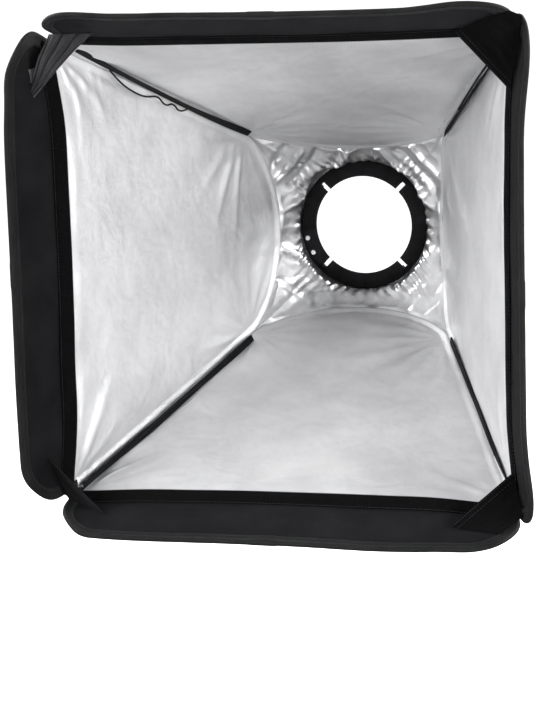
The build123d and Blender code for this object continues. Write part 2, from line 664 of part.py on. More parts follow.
def make_tilt_lever():
    start = CLAMP_HALF + WASHER_THICKNESS + 0.2
    hub = rod_x(LEVER_HUB_RADIUS, (start, LEVER_HUB_END_X), 0, PIVOT_Z)
    hub = fillet(hub.edges().group_by(Axis.X)[-1], 1.5)
    arm_start = LEVER_HUB_END_X - LEVER_THICKNESS
    arm_plane = Plane(origin=(arm_start, 0, PIVOT_Z), x_dir=(0, 1, 0), z_dir=(1, 0, 0))
    outline = make_hull([*Circle(6.5).edges(), *(Pos(0, -LEVER_LENGTH) * Circle(5.2)).edges()])
    arm = extrude(outline, LEVER_THICKNESS)
    arm = fillet(arm.edges().group_by(Axis.Z)[-1] + arm.edges().group_by(Axis.Z)[0], 1.2)
    lever = hub + arm_plane * arm
    return lever - rod_x(TILT_BOLT_RADIUS + BOLT_CLEARANCE, (start, LEVER_HUB_END_X - 4.5), 0, PIVOT_Z)


def make_stand_screw():
    hub_rear = -CLAMP_HALF - 7.5
    shank = rod_y(STAND_SCREW_RADIUS, (hub_rear - 2, -SOCKET_RADIUS - 0.15), 0, STAND_SCREW_Z)
    hub = rod_y(7.5, (hub_rear - 12, hub_rear), 0, STAND_SCREW_Z)
    hub = fillet(hub.edges().group_by(Axis.Y)[0], 1.5)
    wing_profile = SlotOverall(36, 17)
    wings = Plane(origin=(0, hub_rear - 13, STAND_SCREW_Z), x_dir=(1, 0, 0), z_dir=(0, 0, 1))
    wings = wings * extrude(wing_profile, 2.8, both=True)
    wings = fillet(wings.edges().group_by(Axis.Z)[-1] + wings.edges().group_by(Axis.Z)[0], 1.2)
    return shank + hub + wings


os.makedirs("parts", exist_ok=True)
make_walls()
make_corners()
save(make_label(), "label_tab")
save(make_rear_panel(), "rear_panel")
save(make_speed_ring(), "speed_ring")
save(make_rear_ring(), "rear_ring")
save(make_ring_screws(), "ring_screws")
save(make_catch_screws(), "catch_screws")
save(make_ring_catch(), "ring_catch")
save(make_hoop(), "bracket_hoop")
save(make_arm(), "bracket_arm")
save(make_arm_bolts(), "arm_bolts")
save(make_carriage(), "shoe_carriage")
save(make_cold_shoe(), "cold_shoe")
save(make_shoe_screws(), "shoe_screws")
save(make_shoe_thumbscrew(), "shoe_thumbscrew")
save(make_knuckle(), "tilt_knuckle")
save(make_knuckle_screws(), "knuckle_screws")
save(make_clamp(), "stand_clamp")
save(make_tilt_bolt(), "tilt_bolt")
save(make_washers(), "tilt_washers")
save(make_tilt_lever(), "tilt_lever")
save(make_stand_screw(), "stand_screw")
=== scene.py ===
from math import acos, atan, atan2, cos, pi, radians, sin, sqrt, tan

import bpy
import numpy as np
from mathutils import Matrix, Vector, noise


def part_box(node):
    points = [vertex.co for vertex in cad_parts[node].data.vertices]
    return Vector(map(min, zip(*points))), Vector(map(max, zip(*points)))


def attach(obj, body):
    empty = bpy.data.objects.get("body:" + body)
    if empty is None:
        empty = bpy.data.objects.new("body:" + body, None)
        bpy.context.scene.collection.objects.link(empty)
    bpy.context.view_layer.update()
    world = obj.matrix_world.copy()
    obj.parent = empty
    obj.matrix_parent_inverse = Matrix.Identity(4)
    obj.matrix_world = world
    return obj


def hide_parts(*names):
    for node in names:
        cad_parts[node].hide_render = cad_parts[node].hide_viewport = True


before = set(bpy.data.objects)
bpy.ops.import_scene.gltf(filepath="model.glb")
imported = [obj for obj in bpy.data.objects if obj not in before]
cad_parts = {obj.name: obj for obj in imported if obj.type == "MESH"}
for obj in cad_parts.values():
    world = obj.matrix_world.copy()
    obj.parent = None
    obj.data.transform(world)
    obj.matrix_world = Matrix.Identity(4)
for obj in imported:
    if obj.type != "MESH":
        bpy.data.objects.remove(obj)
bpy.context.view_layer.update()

# Metres, except in mm(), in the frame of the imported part: +Z is up, the box opens towards -Y.
RING_LOW, RING_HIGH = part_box("speed_ring")
AXIS_Z = (RING_LOW.z + RING_HIGH.z) / 2
RING_RADIUS = (RING_HIGH.z - RING_LOW.z) / 2
RING_REAR_Y = RING_HIGH.y

# --- the walls' driving dimensions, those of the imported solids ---
# A wall's own coordinates are u along it, v forward from its rear corners, and a height inwards.
CORNER_Y = -0.122
CORNER_HALF = 0.120
WALL_SLOPE = 0.4
LIP_DEPTH = 0.290
FRONT_DEPTH = 0.370
ARC_BULGE = 0.060
LIP_SPREAD = 0.018
SEAM_INSET = 0.0043
FRONT_INSET = 0.003
REAR_CORNER_RADIUS = 0.014
MIDDLE_CORNER_RADIUS = 0.070
FRONT_CORNER_RADIUS = 0.047
SLEEVE_RADIUS = 0.003
STRAP_INSET = 0.009
CORD_RADIUS = 0.001

SLOPE_ANGLE = atan(WALL_SLOPE)
SLOPE_SINE, SLOPE_COSINE = sin(SLOPE_ANGLE), cos(SLOPE_ANGLE)
SEAM_RATE = SLOPE_SINE
SEAM_ANGLE = atan(SEAM_RATE)
LIP_V = LIP_DEPTH / SLOPE_COSINE
FRONT_V = FRONT_DEPTH / SLOPE_COSINE
ARC_SAGITTA = ARC_BULGE / SLOPE_COSINE
ARC_RADIUS = (CORNER_HALF**2 + ARC_SAGITTA**2) / (2 * ARC_SAGITTA)
ARC_CENTRE_V = ARC_RADIUS - ARC_SAGITTA

WALLS = {"top": 0, "right": 90, "bottom": 180, "left": 270}
WALL_NUMBER = {wall: number for number, wall in enumerate(WALLS)}
CORNERS = {
    "top_right": (1, 1), "bottom_right": (1, -1), "bottom_left": (-1, -1), "top_left": (-1, 1),
}
BODY = "softbox"

# The first seed of each fabric's noise; every wall or corner adds its own number.
LINING_SEED, CLOTH_SEED, BINDING_SEED, TAPE_SEED = 1, 40, 60, 80
GUSSET_SEED, CRUMPLE_SEED, REAR_SEED = 100, 103, 130


def mm(*values):
    """Metres from millimetres, single ones or nested tuples."""
    return tuple(mm(*value) if isinstance(value, tuple) else value / 1000 for value in values)


# --- camera ---
CAMERA_AIM = Vector((-0.0546, -0.274, 0.1229))
CAMERA_DISTANCE = 2.515
# Azimuth, elevation and roll in radians.
CAMERA_ANGLES = (0.267, 0.183, -0.032)
LENS, SENSOR_WIDTH, FAR_CLIP = 115.2, 36, 500


def make_camera():
    azimuth, elevation, roll = CAMERA_ANGLES
    flat = cos(elevation)
    back = Vector((sin(azimuth) * flat, -cos(azimuth) * flat, sin(elevation)))
    right = (-back).cross(Vector((0, 0, 1))).normalized()
    up = right.cross(-back)
    side = right * cos(roll) + up * sin(roll)
    top = up * cos(roll) - right * sin(roll)
    data = bpy.data.cameras.new("camera")
    data.lens = LENS
    data.sensor_width = SENSOR_WIDTH
    data.clip_end = FAR_CLIP
    camera = bpy.data.objects.new("camera", data)
    turn = Matrix((side, top, back)).transposed().to_4x4()
    camera.matrix_world = Matrix.Translation(CAMERA_AIM + back * CAMERA_DISTANCE) @ turn
    link(camera)
    bpy.context.scene.camera = camera


# --- material helpers ---
def node(tree, kind, inputs=None, **settings):
    """Adds a shader node, with sockets linked or set, and settings."""
    made = tree.nodes.new(kind)
    for key, value in settings.items():
        setattr(made, key, value)
    for key, value in (inputs or {}).items():
        if isinstance(value, bpy.types.NodeSocket):
            tree.links.new(value, made.inputs[key])
        else:
            made.inputs[key].default_value = value
    return made


def noise_value(tree, coordinates, scale, detail=3.0, roughness=0.5, distortion=0.0):
    inputs = {"Vector": coordinates, "Scale": scale, "Detail": detail}
    inputs.update({"Roughness": roughness, "Distortion": distortion})
    return node(tree, "ShaderNodeTexNoise", inputs).outputs["Fac"]


def ramp(tree, value, low, high, from_min=0.3, from_max=0.7):
    """Colour from low to high as a value goes through a range."""
    made = node(tree, "ShaderNodeValToRGB", {"Fac": value})
    made.color_ramp.elements[0].position = from_min
    made.color_ramp.elements[1].position = from_max
    made.color_ramp.elements[0].color = (*low, 1)
    made.color_ramp.elements[1].color = (*high, 1)
    return made.outputs["Color"]


def spread(tree, value, low, high, from_min=0.0, from_max=1.0):
    """A value spread from one range over another."""
    inputs = {"Value": value, "From Min": from_min, "From Max": from_max}
    inputs.update({"To Min": low, "To Max": high})
    return node(tree, "ShaderNodeMapRange", inputs).outputs["Result"]


def bump(tree, height, distance, strength=1.0, below=None):
    inputs = {"Height": height, "Distance": distance, "Strength": strength}
    if below is not None:
        inputs["Normal"] = below
    return node(tree, "ShaderNodeBump", inputs).outputs["Normal"]


def maths(tree, operation, *values):
    inputs = dict(enumerate(values))
    return node(tree, "ShaderNodeMath", inputs, operation=operation).outputs[0]


def weave_value(tree, coordinates, pitch):
    """Plain weave from two crossing sine waves, along the depth and across it."""
    turn = node(tree, "ShaderNodeSeparateXYZ", {"Vector": coordinates})
    across = maths(tree, "ADD", turn.outputs["X"], turn.outputs["Z"])
    rate = 2 * pi / pitch
    waves = []
    for value in (across, turn.outputs["Y"]):
        waves.append(maths(tree, "SINE", maths(tree, "MULTIPLY", value, rate)))
    return maths(tree, "MULTIPLY", *waves)


def height_value(tree, where, kind, *values):
    """Pattern of a surface's relief: woven threads, cells or noise."""
    if kind == "weave":
        return weave_value(tree, where, *values)
    if kind == "cells":
        inputs = {"Vector": where, "Scale": values[0]}
        return node(tree, "ShaderNodeTexVoronoi", inputs, feature="F1").outputs["Distance"]
    return noise_value(tree, where, *values)


# --- materials ---
def make_finish(name, stain, colours, rough=None, grain=None, relief=(), stretch=None, rubbed=None,
                **principled):
    """Material with a stained colour, a grained roughness and layers of relief.

    Stain and grain are noises, one and the same where no grain is given. A layer of relief is a
    pattern, then its bump's distance and strength. Rubbed is the colour along convex edges.
    """
    material = bpy.data.materials.new(name)
    material.use_nodes = True
    tree = material.node_tree
    shader = tree.nodes["Principled BSDF"]
    for key, value in principled.items():
        shader.inputs[key.replace("_", " ")].default_value = value
    where = tree.nodes.new("ShaderNodeTexCoord").outputs["Object"]
    if stretch:
        where = node(tree, "ShaderNodeMapping", {"Vector": where, "Scale": stretch}).outputs[0]
    colour = ramp(tree, noise_value(tree, where, *stain), *colours)
    if rubbed:
        edges = node(tree, "ShaderNodeNewGeometry").outputs["Pointiness"]
        inputs = {0: spread(tree, edges, 0.0, 1.0, 0.53, 0.6), 6: colour, 7: rubbed}
        colour = node(tree, "ShaderNodeMix", inputs, data_type="RGBA").outputs[2]
    tree.links.new(colour, shader.inputs["Base Color"])
    if rough:
        uneven = spread(tree, noise_value(tree, where, *(grain or stain)), *rough)
        tree.links.new(uneven, shader.inputs["Roughness"])
    normal = None
    for *pattern, distance, strength in relief:
        normal = bump(tree, height_value(tree, where, *pattern), distance, strength, normal)
    if normal:
        tree.links.new(normal, shader.inputs["Normal"])
    return material


def woven(dark, light, pitch, roughness, sheen, gloss=0.2):
    """Black synthetic cloth: weave, soft creasing and a slightly uneven shade."""
    return dict(
        stain=(26, 4, 0.6), colours=(dark, light),
        grain=(900, 2), rough=(roughness - 0.1, roughness + 0.1),
        relief=[("noise", 70, 4, 0.55, 0.4, 0.0012, 0.5), ("weave", pitch, 0.00015, 0.7)],
        Sheen_Weight=sheen, Sheen_Roughness=0.4, Sheen_Tint=(0.75, 0.75, 0.85, 1),
        Specular_IOR_Level=gloss)


def ribbed(pitch, colour, roughness):
    """Black webbing, elastic or thread with fine ribs and fibres."""
    fibres = (700, 3)
    return dict(
        stain=fibres, colours=(colour, tuple(c * 2.2 for c in colour)),
        rough=(roughness - 0.1, roughness + 0.1),
        relief=[("weave", pitch, 0.0003, 0.8), ("noise", *fibres, 0.0002, 0.5)],
        Sheen_Weight=0.03, Specular_IOR_Level=0.10)


FINISHES = {
    "black_cloth": woven(
        (0.0028, 0.0026, 0.0032), (0.0085, 0.0081, 0.0092), 0.0007, 0.72, 0.03, 0.10),
    "edge_binding": woven((0.004, 0.004, 0.004), (0.011, 0.0115, 0.011), 0.0011, 0.6, 0.05, 0.15),
    # the black cloth in a lighter colour for the crumpled top-left gusset: painted light standing in
    # for the light on its folds
    "slack_cloth_painted_light": woven((0.012, 0.012, 0.0125), (0.036, 0.035, 0.037), 0.0007, 0.7, 0.25),
    # the black cloth made matte, a real finish, and darker in colour, painted shade, for the
    # top-right and bottom-right gussets
    "gusset_cloth_painted_shade": woven(
        (0.0015, 0.0015, 0.0018), (0.004, 0.004, 0.0045), 0.0007, 0.85, 0.0, 0.06),
    "black_webbing": ribbed(0.0011, (0.0015, 0.0015, 0.0018), 0.7),
    "black_elastic": ribbed(0.0009, (0.004, 0.004, 0.0045), 0.65),
    "black_thread": ribbed(0.0006, (0.02, 0.02, 0.022), 0.5),
    # satin silver coating on fine cloth
    "silver_lining": dict(
        stain=(9, 5, 0.6), colours=((0.66, 0.66, 0.67), (0.88, 0.88, 0.885)),
        grain=(320, 3), rough=(0.36, 0.48), Metallic=0.7,
        relief=[("noise", 22, 5, 0.5, 0.6, 0.0044, 0.55), ("noise", 95, 3, 0.5, 0.3, 0.0010, 0.5),
                ("weave", 0.0006, 0.00008, 0.5)]),
    # thin crinkled silver cloth, brighter and sharper than the walls' lining
    "silver_foil": dict(
        stain=(20, 5, 0.6), colours=((0.62, 0.62, 0.63), (0.9, 0.9, 0.905)),
        grain=(400, 2), rough=(0.26, 0.40), Metallic=0.9,
        relief=[("noise", 38, 4, 0.55, 0.6, 0.003, 0.5), ("noise", 110, 3, 0.5, 0.6, 0.0006, 0.5)]),
    # woven tape set with rows of tiny hooks
    "hook_tape": dict(
        stain=(500, 3), colours=((0.001, 0.001, 0.001), (0.004, 0.004, 0.0045)),
        rough=(0.7, 0.95), Specular_IOR_Level=0.05,
        relief=[("cells", 700.0, 0.0012, 0.9)]),
    "label": dict(
        stain=(600, 3), colours=((0.12, 0.12, 0.12), (0.2, 0.2, 0.2)),
        rough=(0.5, 0.7), Sheen_Weight=0.2,
        relief=[("weave", 0.0008, 0.0002, 0.8)]),
    # matte powder coat, rubbed a little along its edges
    "black_metal": dict(
        stain=(60, 4, 0.6), colours=((0.002, 0.002, 0.0022), (0.005, 0.005, 0.0055)),
        rough=(0.5, 0.65), Specular_IOR_Level=0.06,
        relief=[("noise", 1400, 3, 0.0002, 0.45)], rubbed=(0.022, 0.022, 0.024, 1)),
    # plated steel with faint brushing
    "zinc_steel": dict(
        stain=(300, 4), colours=((0.52, 0.52, 0.53), (0.72, 0.72, 0.73)),
        rough=(0.22, 0.4), Metallic=1.0,
        relief=[("noise", 300, 4, 0.0001, 0.4)], stretch=(1, 1, 12)),
    # moulded plastic with a fine spark texture
    "black_plastic": dict(
        stain=(45, 3), colours=((0.012, 0.012, 0.013), (0.022, 0.022, 0.023)),
        rough=(0.36, 0.5), Specular_IOR_Level=0.45,
        relief=[("noise", 2200, 2, 0.00015, 0.5)]),
}
MATERIALS = {name: make_finish(name, **looks) for name, looks in FINISHES.items()}


# --- mesh helpers ---
def link(made):
    bpy.context.scene.collection.objects.link(made)


def finish_piece(piece, nodes=()):
    """Adds a piece to the scene, the CAD nodes it replaces and its body."""
    link(piece)
    if nodes:
        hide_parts(*nodes)
    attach(piece, BODY)


def add_piece(name, points, faces, slot, nodes=(), finish=None, thickness=None, offset=0):
    """Piece from points and faces, in its slot's finish or another, thickened where it is a skin."""
    mesh = bpy.data.meshes.new(name)
    mesh.from_pydata([tuple(p) for p in np.asarray(points, float)], [], [tuple(f) for f in faces])
    mesh.update()
    mesh.polygons.foreach_set("use_smooth", [True] * len(mesh.polygons))
    mesh.materials.append(MATERIALS[finish or slot])
    piece = bpy.data.objects.new(name, mesh)
    if thickness:
        skin = piece.modifiers.new("thickness", "SOLIDIFY")
        skin.thickness = thickness
        skin.offset = offset
    finish_piece(piece, nodes)
    return piece


def grid_faces(rows, columns, wrap_rows=False, wrap_columns=False, start=0):
    """Quads of a grid of points stored row by row."""
    faces = []
    for i in range(rows if wrap_rows else rows - 1):
        low, high = start + i * columns, start + ((i + 1) % rows) * columns
        for j in range(columns if wrap_columns else columns - 1):
            k = (j + 1) % columns
            faces.append((low + j, low + k, high + k, high + j))
    return faces


def ease(value, low, high):
    """Smooth step from 0 at low to 1 at high."""
    t = np.clip((np.asarray(value, float) - low) / (high - low), 0, 1)
    return t * t * (3 - 2 * t)


def noise_field(points, scale, seed):
    """Perlin noise at points in the plane, one value each."""
    shift = np.array([seed * 7.3, -seed * 3.1])
    rows = np.asarray(points, float)[:, :2] / scale + shift
    return np.array([noise.noise((x, y, seed * 11.9)) for x, y in rows])


def wrinkles(points, seed, layers):
    """Sum of noises, each given by its height, its size and its step from the seed."""
    return sum(height * noise_field(points, size, seed + step) for height, size, step in layers)


def crease_field(points, scale, seed):
    """Distance to the nearest of scattered points: facets with creases, like crumpled foil."""
    rows = np.asarray(points, float) / scale + np.array([seed * 5.7, seed * 9.1])
    return np.array([noise.voronoi((x, y, seed * 2.3))[0][0] for x, y in rows])


# --- the outline of a wall ---
# Points on each part of half an outline, from the middle of the rear arc to the front edge's.
ARC_COUNT, REAR_TURN_COUNT, SIDE_COUNT, MIDDLE_TURN_COUNT = 40, 9, 30, 10
LIP_COUNT, FRONT_TURN_COUNT, EDGE_COUNT = 8, 16, 24


def seam_half(v, inset):
    return CORNER_HALF + SEAM_RATE * v - inset / cos(SEAM_ANGLE)


def arc_points(centre, radius, start, end, count):
    angles = np.linspace(start, end, count)
    return np.array(centre) + radius * np.column_stack([np.cos(angles), np.sin(angles)])


def rounded_corner(before, corner, after, radius, count):
    """Arc that rounds a corner between two straight runs."""
    before, corner, after = (np.array(p, float) for p in (before, corner, after))
    back = (before - corner) / np.linalg.norm(before - corner)
    on = (after - corner) / np.linalg.norm(after - corner)
    half = acos(float(np.clip(back @ on, -1, 1))) / 2
    bisector = (back + on) / np.linalg.norm(back + on)
    centre = corner + bisector * radius / sin(half)
    reach = radius / tan(half)
    start, end = corner + back * reach - centre, corner + on * reach - centre
    first = atan2(start[1], start[0])
    turn = (atan2(end[1], end[0]) - first + pi) % (2 * pi) - pi
    return arc_points(centre, radius, first, first + turn, count)


def seam_meets_circle(half, radius):
    """Where a line along the seam, from half at the corners, meets a circle on the arc's centre."""
    a = 1 + SEAM_RATE**2
    b = 2 * half * SEAM_RATE - 2 * ARC_CENTRE_V
    c = half**2 + ARC_CENTRE_V**2 - radius**2
    v = (-b - sqrt(b * b - 4 * a * c)) / (2 * a)
    return half + SEAM_RATE * v, v


def half_outline(inset):
    """Right half of a wall's outline, moved in from its wire: rear arc's middle to front edge's."""
    radius, corner = ARC_RADIUS - inset, REAR_CORNER_RADIUS - inset
    centre = seam_meets_circle(seam_half(0, SEAM_INSET + inset + corner), radius - corner)
    toward_arc = atan2(centre[1] - ARC_CENTRE_V, centre[0])
    rear = arc_points((0, ARC_CENTRE_V), radius, -pi / 2, toward_arc, ARC_COUNT)
    turn = arc_points(centre, corner, toward_arc, -SEAM_ANGLE, REAR_TURN_COUNT)
    lip_half = seam_half(LIP_V, SEAM_INSET + inset)
    front = FRONT_V - FRONT_INSET - inset
    lip, tip = (lip_half, LIP_V), (lip_half + LIP_SPREAD, front)
    middle_radius, front_radius = MIDDLE_CORNER_RADIUS - inset, FRONT_CORNER_RADIUS - inset
    middle = rounded_corner(turn[-1], lip, tip, middle_radius, MIDDLE_TURN_COUNT)
    side = np.linspace(turn[-1], middle[0], SIDE_COUNT)[1:-1]
    outer = rounded_corner(lip, tip, (0, front), front_radius, FRONT_TURN_COUNT)
    lip_side = np.linspace(middle[-1], outer[0], LIP_COUNT)[1:-1]
    edge = np.linspace(outer[-1], (0, front), EDGE_COUNT)[1:]
    return np.vstack([rear, turn[1:], side, middle, lip_side, outer, edge])


def mirrored(points):
    return points * np.array([-1, 1])


def closed_outline(inset):
    """Outline from the front edge's middle round the right side and back to its first point."""
    right = half_outline(inset)
    return np.vstack([right[::-1], mirrored(right)[1:]])


def along(points, fractions):
    """Points at fractions of a polyline's length."""
    steps = np.linalg.norm(np.diff(points, axis=0), axis=1)
    lengths = np.concatenate([[0], np.cumsum(steps)])
    wanted = np.asarray(fractions) * lengths[-1]
    return np.column_stack([np.interp(wanted, lengths, values) for values in np.transpose(points)])


def gathered(count):
    """Fractions from 0 to 1 that lie closer together at both ends."""
    return 0.5 - 0.5 * np.cos(np.linspace(0, pi, count))


def patch(rear, front, left, right, rows, columns):
    """Grid of points between four boundary curves."""
    s, t = gathered(columns), gathered(rows)
    rear, front = along(rear, s), along(front, s)
    left, right = along(left, t), along(right, t)
    s, t = s[None, :, None], t[:, None, None]
    blend = (1 - t) * rear[None] + t * front[None] + (1 - s) * left[:, None] + s * right[:, None]
    blend -= (1 - t) * ((1 - s) * rear[0] + s * rear[-1]) + t * ((1 - s) * front[0] + s * front[-1])
    return blend.reshape(-1, 2)


def wall_grid(inset, end_v, rows, columns):
    """Grid over a wall, from its rear arc to a line across it or to its front edge."""
    right = half_outline(inset)
    rear_end = ARC_COUNT + REAR_TURN_COUNT // 2
    if end_v is None:
        front_start = len(right) - (EDGE_COUNT - 1 + FRONT_TURN_COUNT // 2)
        tail = right[front_start:]
    else:
        front_start = int(np.searchsorted(right[:, 1], end_v))
        cut = np.array([[np.interp(end_v, right[:, 1], right[:, 0]), end_v]])
        right = np.vstack([right[:front_start], cut])
        tail = np.vstack([cut, [[0, end_v]]])
    rear = np.vstack([mirrored(right[: rear_end + 1])[::-1], right[1 : rear_end + 1]])
    front = np.vstack([mirrored(tail)[:-1], tail[::-1]])
    side = right[rear_end : front_start + 1]
    return patch(rear, front, mirrored(side), side, rows, columns)


def edge_distance(points):
    """How far each point is inside the wall's wire, negative outside."""
    count, batch = 900, 2000
    outline = along(closed_outline(0.0), np.linspace(0, 1, count))
    distances, nearest = [], []
    for start in range(0, len(points), batch):
        squares = ((points[start : start + batch, None] - outline[None]) ** 2).sum(2)
        distances.append(np.sqrt(squares.min(1)))
        nearest.append(squares.argmin(1))
    distance, nearest = np.concatenate(distances), np.concatenate(nearest)
    run = np.roll(outline, -1, axis=0)[nearest] - outline[nearest]
    offset = points - outline[nearest]
    outside = run[:, 0] * offset[:, 1] - run[:, 1] * offset[:, 0] > 0
    return np.where(outside, -distance, distance)


# --- from a wall's own coordinates to the frame ---
# How far a wall's middle bows inwards at its rear arc, at the lip's line and at its front edge.
WALL_BOW = {
    "top": mm(0, 3, 3.4), "right": mm(-4.5, 6, 8.6), "bottom": mm(0, 6.8, 3.8),
    "left": mm(0, 12.5, 6.5),
}
# Pulls on the lips' corners: the place along the wall and forward, the reach, and the shift along,
# forward and inward.
CORNER_PULLS = {
    "top": mm(
        (-238, 386, 38, 0, -12, 0), (-243, 345, 30, 18, 3, 0), (-195, 398, 42, 0, 9, 0),
        (-100, 398, 70, 0, 4, 0), (160, 336, 60, 0, 0, -1.5), (238, 386, 38, 15, 10, 0),
        (200, 398, 38, -4, 7, 0),
    ),
    "right": mm(
        (-238, 386, 38, -15, 12, 0), (-243, 345, 30, -12, 0, 0), (-200, 398, 38, 6, -4, 0),
        (-150, 336, 60, 0, 0, -2), (238, 386, 38, 4, 3, 0),
    ),
    "bottom": mm(
        (238, 386, 38, -8, -6, 0), (200, 398, 38, 2, -3, 0), (-243, 345, 30, -6, 0, 0),
        (-200, 398, 38, 0, -4, 0), (-110, 398, 60, 0, 3, 0), (150, 336, 70, 0, 0, -2),
    ),
    "left": mm(
        (238, 386, 38, -8, -2, 0), (243, 345, 30, 12, 0, 0), (200, 398, 38, 3, -8, 0),
        (-120, 336, 70, 0, 0, -3), (-238, 386, 38, 5.5, -7, 0), (-200, 398, 38, -2, -3, 0),
    ),
}


def bow(wall, points):
    """Height of a wall's middle over the plane through its seams."""
    rear, lip, front = WALL_BOW[wall]
    v = points[:, 1]
    across = np.abs(points[:, 0]) / seam_half(np.minimum(v, LIP_V), 0)
    level = rear * (1 - ease(v, -0.06, 0.06)) + lip * ease(v, 0.02, LIP_V)
    level += (front - lip) * ease(v, LIP_V, FRONT_V)
    return level * (1 - ease(across, 0.5, 1.0) ** 1.6)


def to_frame(wall, points, heights):
    """Points (u along the wall, v forward) at heights inside a wall, in the frame."""
    angle = radians(WALLS[wall])
    w = np.asarray(heights, float) + bow(wall, points)
    moved = np.array(points, float)
    for u, v, reach, along_wall, forward, inward in CORNER_PULLS[wall]:
        pull = np.exp(-((points[:, 0] - u) ** 2 + (points[:, 1] - v) ** 2) / reach**2)
        moved += pull[:, None] * np.array([along_wall, forward])
        w = w + pull * inward
    x = moved[:, 0]
    y = CORNER_Y - moved[:, 1] * SLOPE_COSINE - w * SLOPE_SINE
    z = CORNER_HALF + moved[:, 1] * SLOPE_SINE - w * SLOPE_COSINE
    turned_x = x * cos(angle) + z * sin(angle)
    turned_z = -x * sin(angle) + z * cos(angle)
    return np.column_stack([turned_x, y, AXIS_Z + turned_z])


def wall_normal(wall):
    """Direction straight into the box from a wall."""
    angle = radians(WALLS[wall])
    across, up = -SLOPE_COSINE * sin(angle), -SLOPE_COSINE * cos(angle)
    return np.array([across, -SLOPE_SINE, up])


# --- relief of the fabrics ---
def fold(points, start, end, width, height, taper=0.25):
    """Soft ridge along a straight line on a wall, fading out at both ends."""
    start, end = np.array(start), np.array(end)
    run = end - start
    length = np.linalg.norm(run)
    run = run / length
    offset = points - start
    along_run = offset @ run / length
    across = offset @ np.array([-run[1], run[0]])
    window = ease(along_run, -0.02, taper) * (1 - ease(along_run, 1 - taper, 1.02))
    return height * window * np.exp(-((across / width) ** 2))


# Folds of each lining: start, end, width and height.
LINING_FOLDS = {
    "top": mm(
        ((-131, 188), (-124, 40), 6, 2.2), ((-110, 10), (-20, 60), 8, 2),
        ((112, 12), (60, 110), 8, 1.8), ((-180, 300), (-60, 270), 10, 1.6),
        ((205, 300), (120, 255), 8, 2),
    ),
    "right": mm(
        ((-112, 10), (-40, 80), 7, 2.2), ((-46, -40), (-30, 130), 13, 4),
        ((34, -40), (52, 110), 13, 3.6), ((-84, 0), (-60, 90), 10, 2.4),
        ((108, 4), (30, 70), 7, 2), ((-214, 300), (-120, 240), 7, 2.2),
        ((214, 300), (110, 270), 7, 2),
    ),
    "bottom": mm(
        ((216, 301), (150, 245), 6, 3), ((205, 304), (110, 290), 6, 2),
        ((108, 4), (50, 90), 8, 2), ((-110, 6), (-60, 80), 8, 2),
        ((-216, 301), (-130, 270), 8, 1.8),
    ),
    "left": mm(
        ((216, 299), (130, 303), 5, 0.8), ((216, 287), (110, 291), 5, 1),
        ((216, 274), (135, 270), 5, 1), ((217, 262), (150, 248), 5, 0.9),
        ((112, 4), (-5, 20), 5, 2.8), ((114, 12), (0, 62), 6, 3),
        ((116, 22), (30, 105), 6.5, 2.6), ((-112, 8), (-40, 50), 6, 2),
        ((-214, 300), (-120, 262), 8, 2.2),
    ),
}
# Layers of wrinkles: height, size and step from the seed.
LINING_WRINKLES = [(0.0022, 0.085, 0), (0.0011, 0.032, 10), (0.0004, 0.013, 30)]
CLOTH_WRINKLES = [(0.0011, 0.07, 0), (0.0004, 0.022, 5)]
GUSSET_WRINKLES = [(0.0014, 0.022, 0), (0.0007, 0.009, 5)]
# Corners that the lining's pulled folds fan out from.
FAN_CORNERS = [(-0.112, -0.004), (0.112, -0.004), (0.232, LIP_V), (-0.232, LIP_V)]
FAN_HEIGHT, FAN_RATE = 0.0011, 16
# How far the lining can sag back before the cloth behind it holds it up.
LINING_HOLD = 0.0014
LINING_GRID, CLOTH_GRID = (150, 170), (110, 110)
BINDING_COUNT, TAPE_COLUMNS, STRAP_COUNT, SEAM_TAPE_COUNT = 620, 260, 120, 70
LINING_THICKNESS, CLOTH_THICKNESS, REAR_THICKNESS, TAB_THICKNESS = 0.0004, 0.0008, 0.0003, 0.0005


def lining_relief(wall, points):
    """Height of the lining's wrinkles and folds over the wall."""
    seed = LINING_SEED + WALL_NUMBER[wall]
    relief = wrinkles(points, seed, LINING_WRINKLES)
    for i, corner in enumerate(FAN_CORNERS):
        offset = points - np.array(corner)
        reach = np.linalg.norm(offset, axis=1)
        direction = np.arctan2(offset[:, 1], offset[:, 0])
        wander = noise_field(points, 0.05, seed + 20 + i)
        fan = np.sin(direction * FAN_RATE + wander * 1.6 + i)
        relief += FAN_HEIGHT * fan * ease(reach, 0.006, 0.05) * (1 - ease(reach, 0.06, 0.17))
    for crease in LINING_FOLDS[wall]:
        relief += fold(points, *crease)
    return 0.5 * (relief + np.sqrt(relief**2 + LINING_HOLD**2))


def sleeve_height(inside, radius, flat):
    """Height of a cloth that runs over the wire's sleeve and down to the flat wall."""
    over = np.sqrt(np.clip(radius**2 - np.minimum(inside, 0) ** 2, 0, None))
    share = np.clip(inside / (2.4 * radius), 0, 1)
    down = flat + (radius - flat) * (0.5 + 0.5 * np.cos(share * pi))
    return np.where(inside < 0, over, down)


def make_lining(wall):
    """Silver lining, over the wire at the rear arc and the sides, tucked under the hook band."""
    points = wall_grid(-0.0031, LIP_V + 0.002, *LINING_GRID)
    inside, v = edge_distance(points), points[:, 1]
    relief = lining_relief(wall, points) * ease(inside, 0.002, 0.016)
    relief *= 1 - ease(v, LIP_V - 0.012, LIP_V - 0.001)
    tuck = ease(v, LIP_V - 0.006, LIP_V)
    heights = (sleeve_height(inside, 0.0032, 0.0008) + relief) * (1 - tuck) + 0.0004 * tuck
    piece = add_piece(
        f"wall_lining_{wall}", to_frame(wall, points, heights), grid_faces(*LINING_GRID),
        "silver_lining", [f"lining_{wall}"], thickness=LINING_THICKNESS, offset=-1)


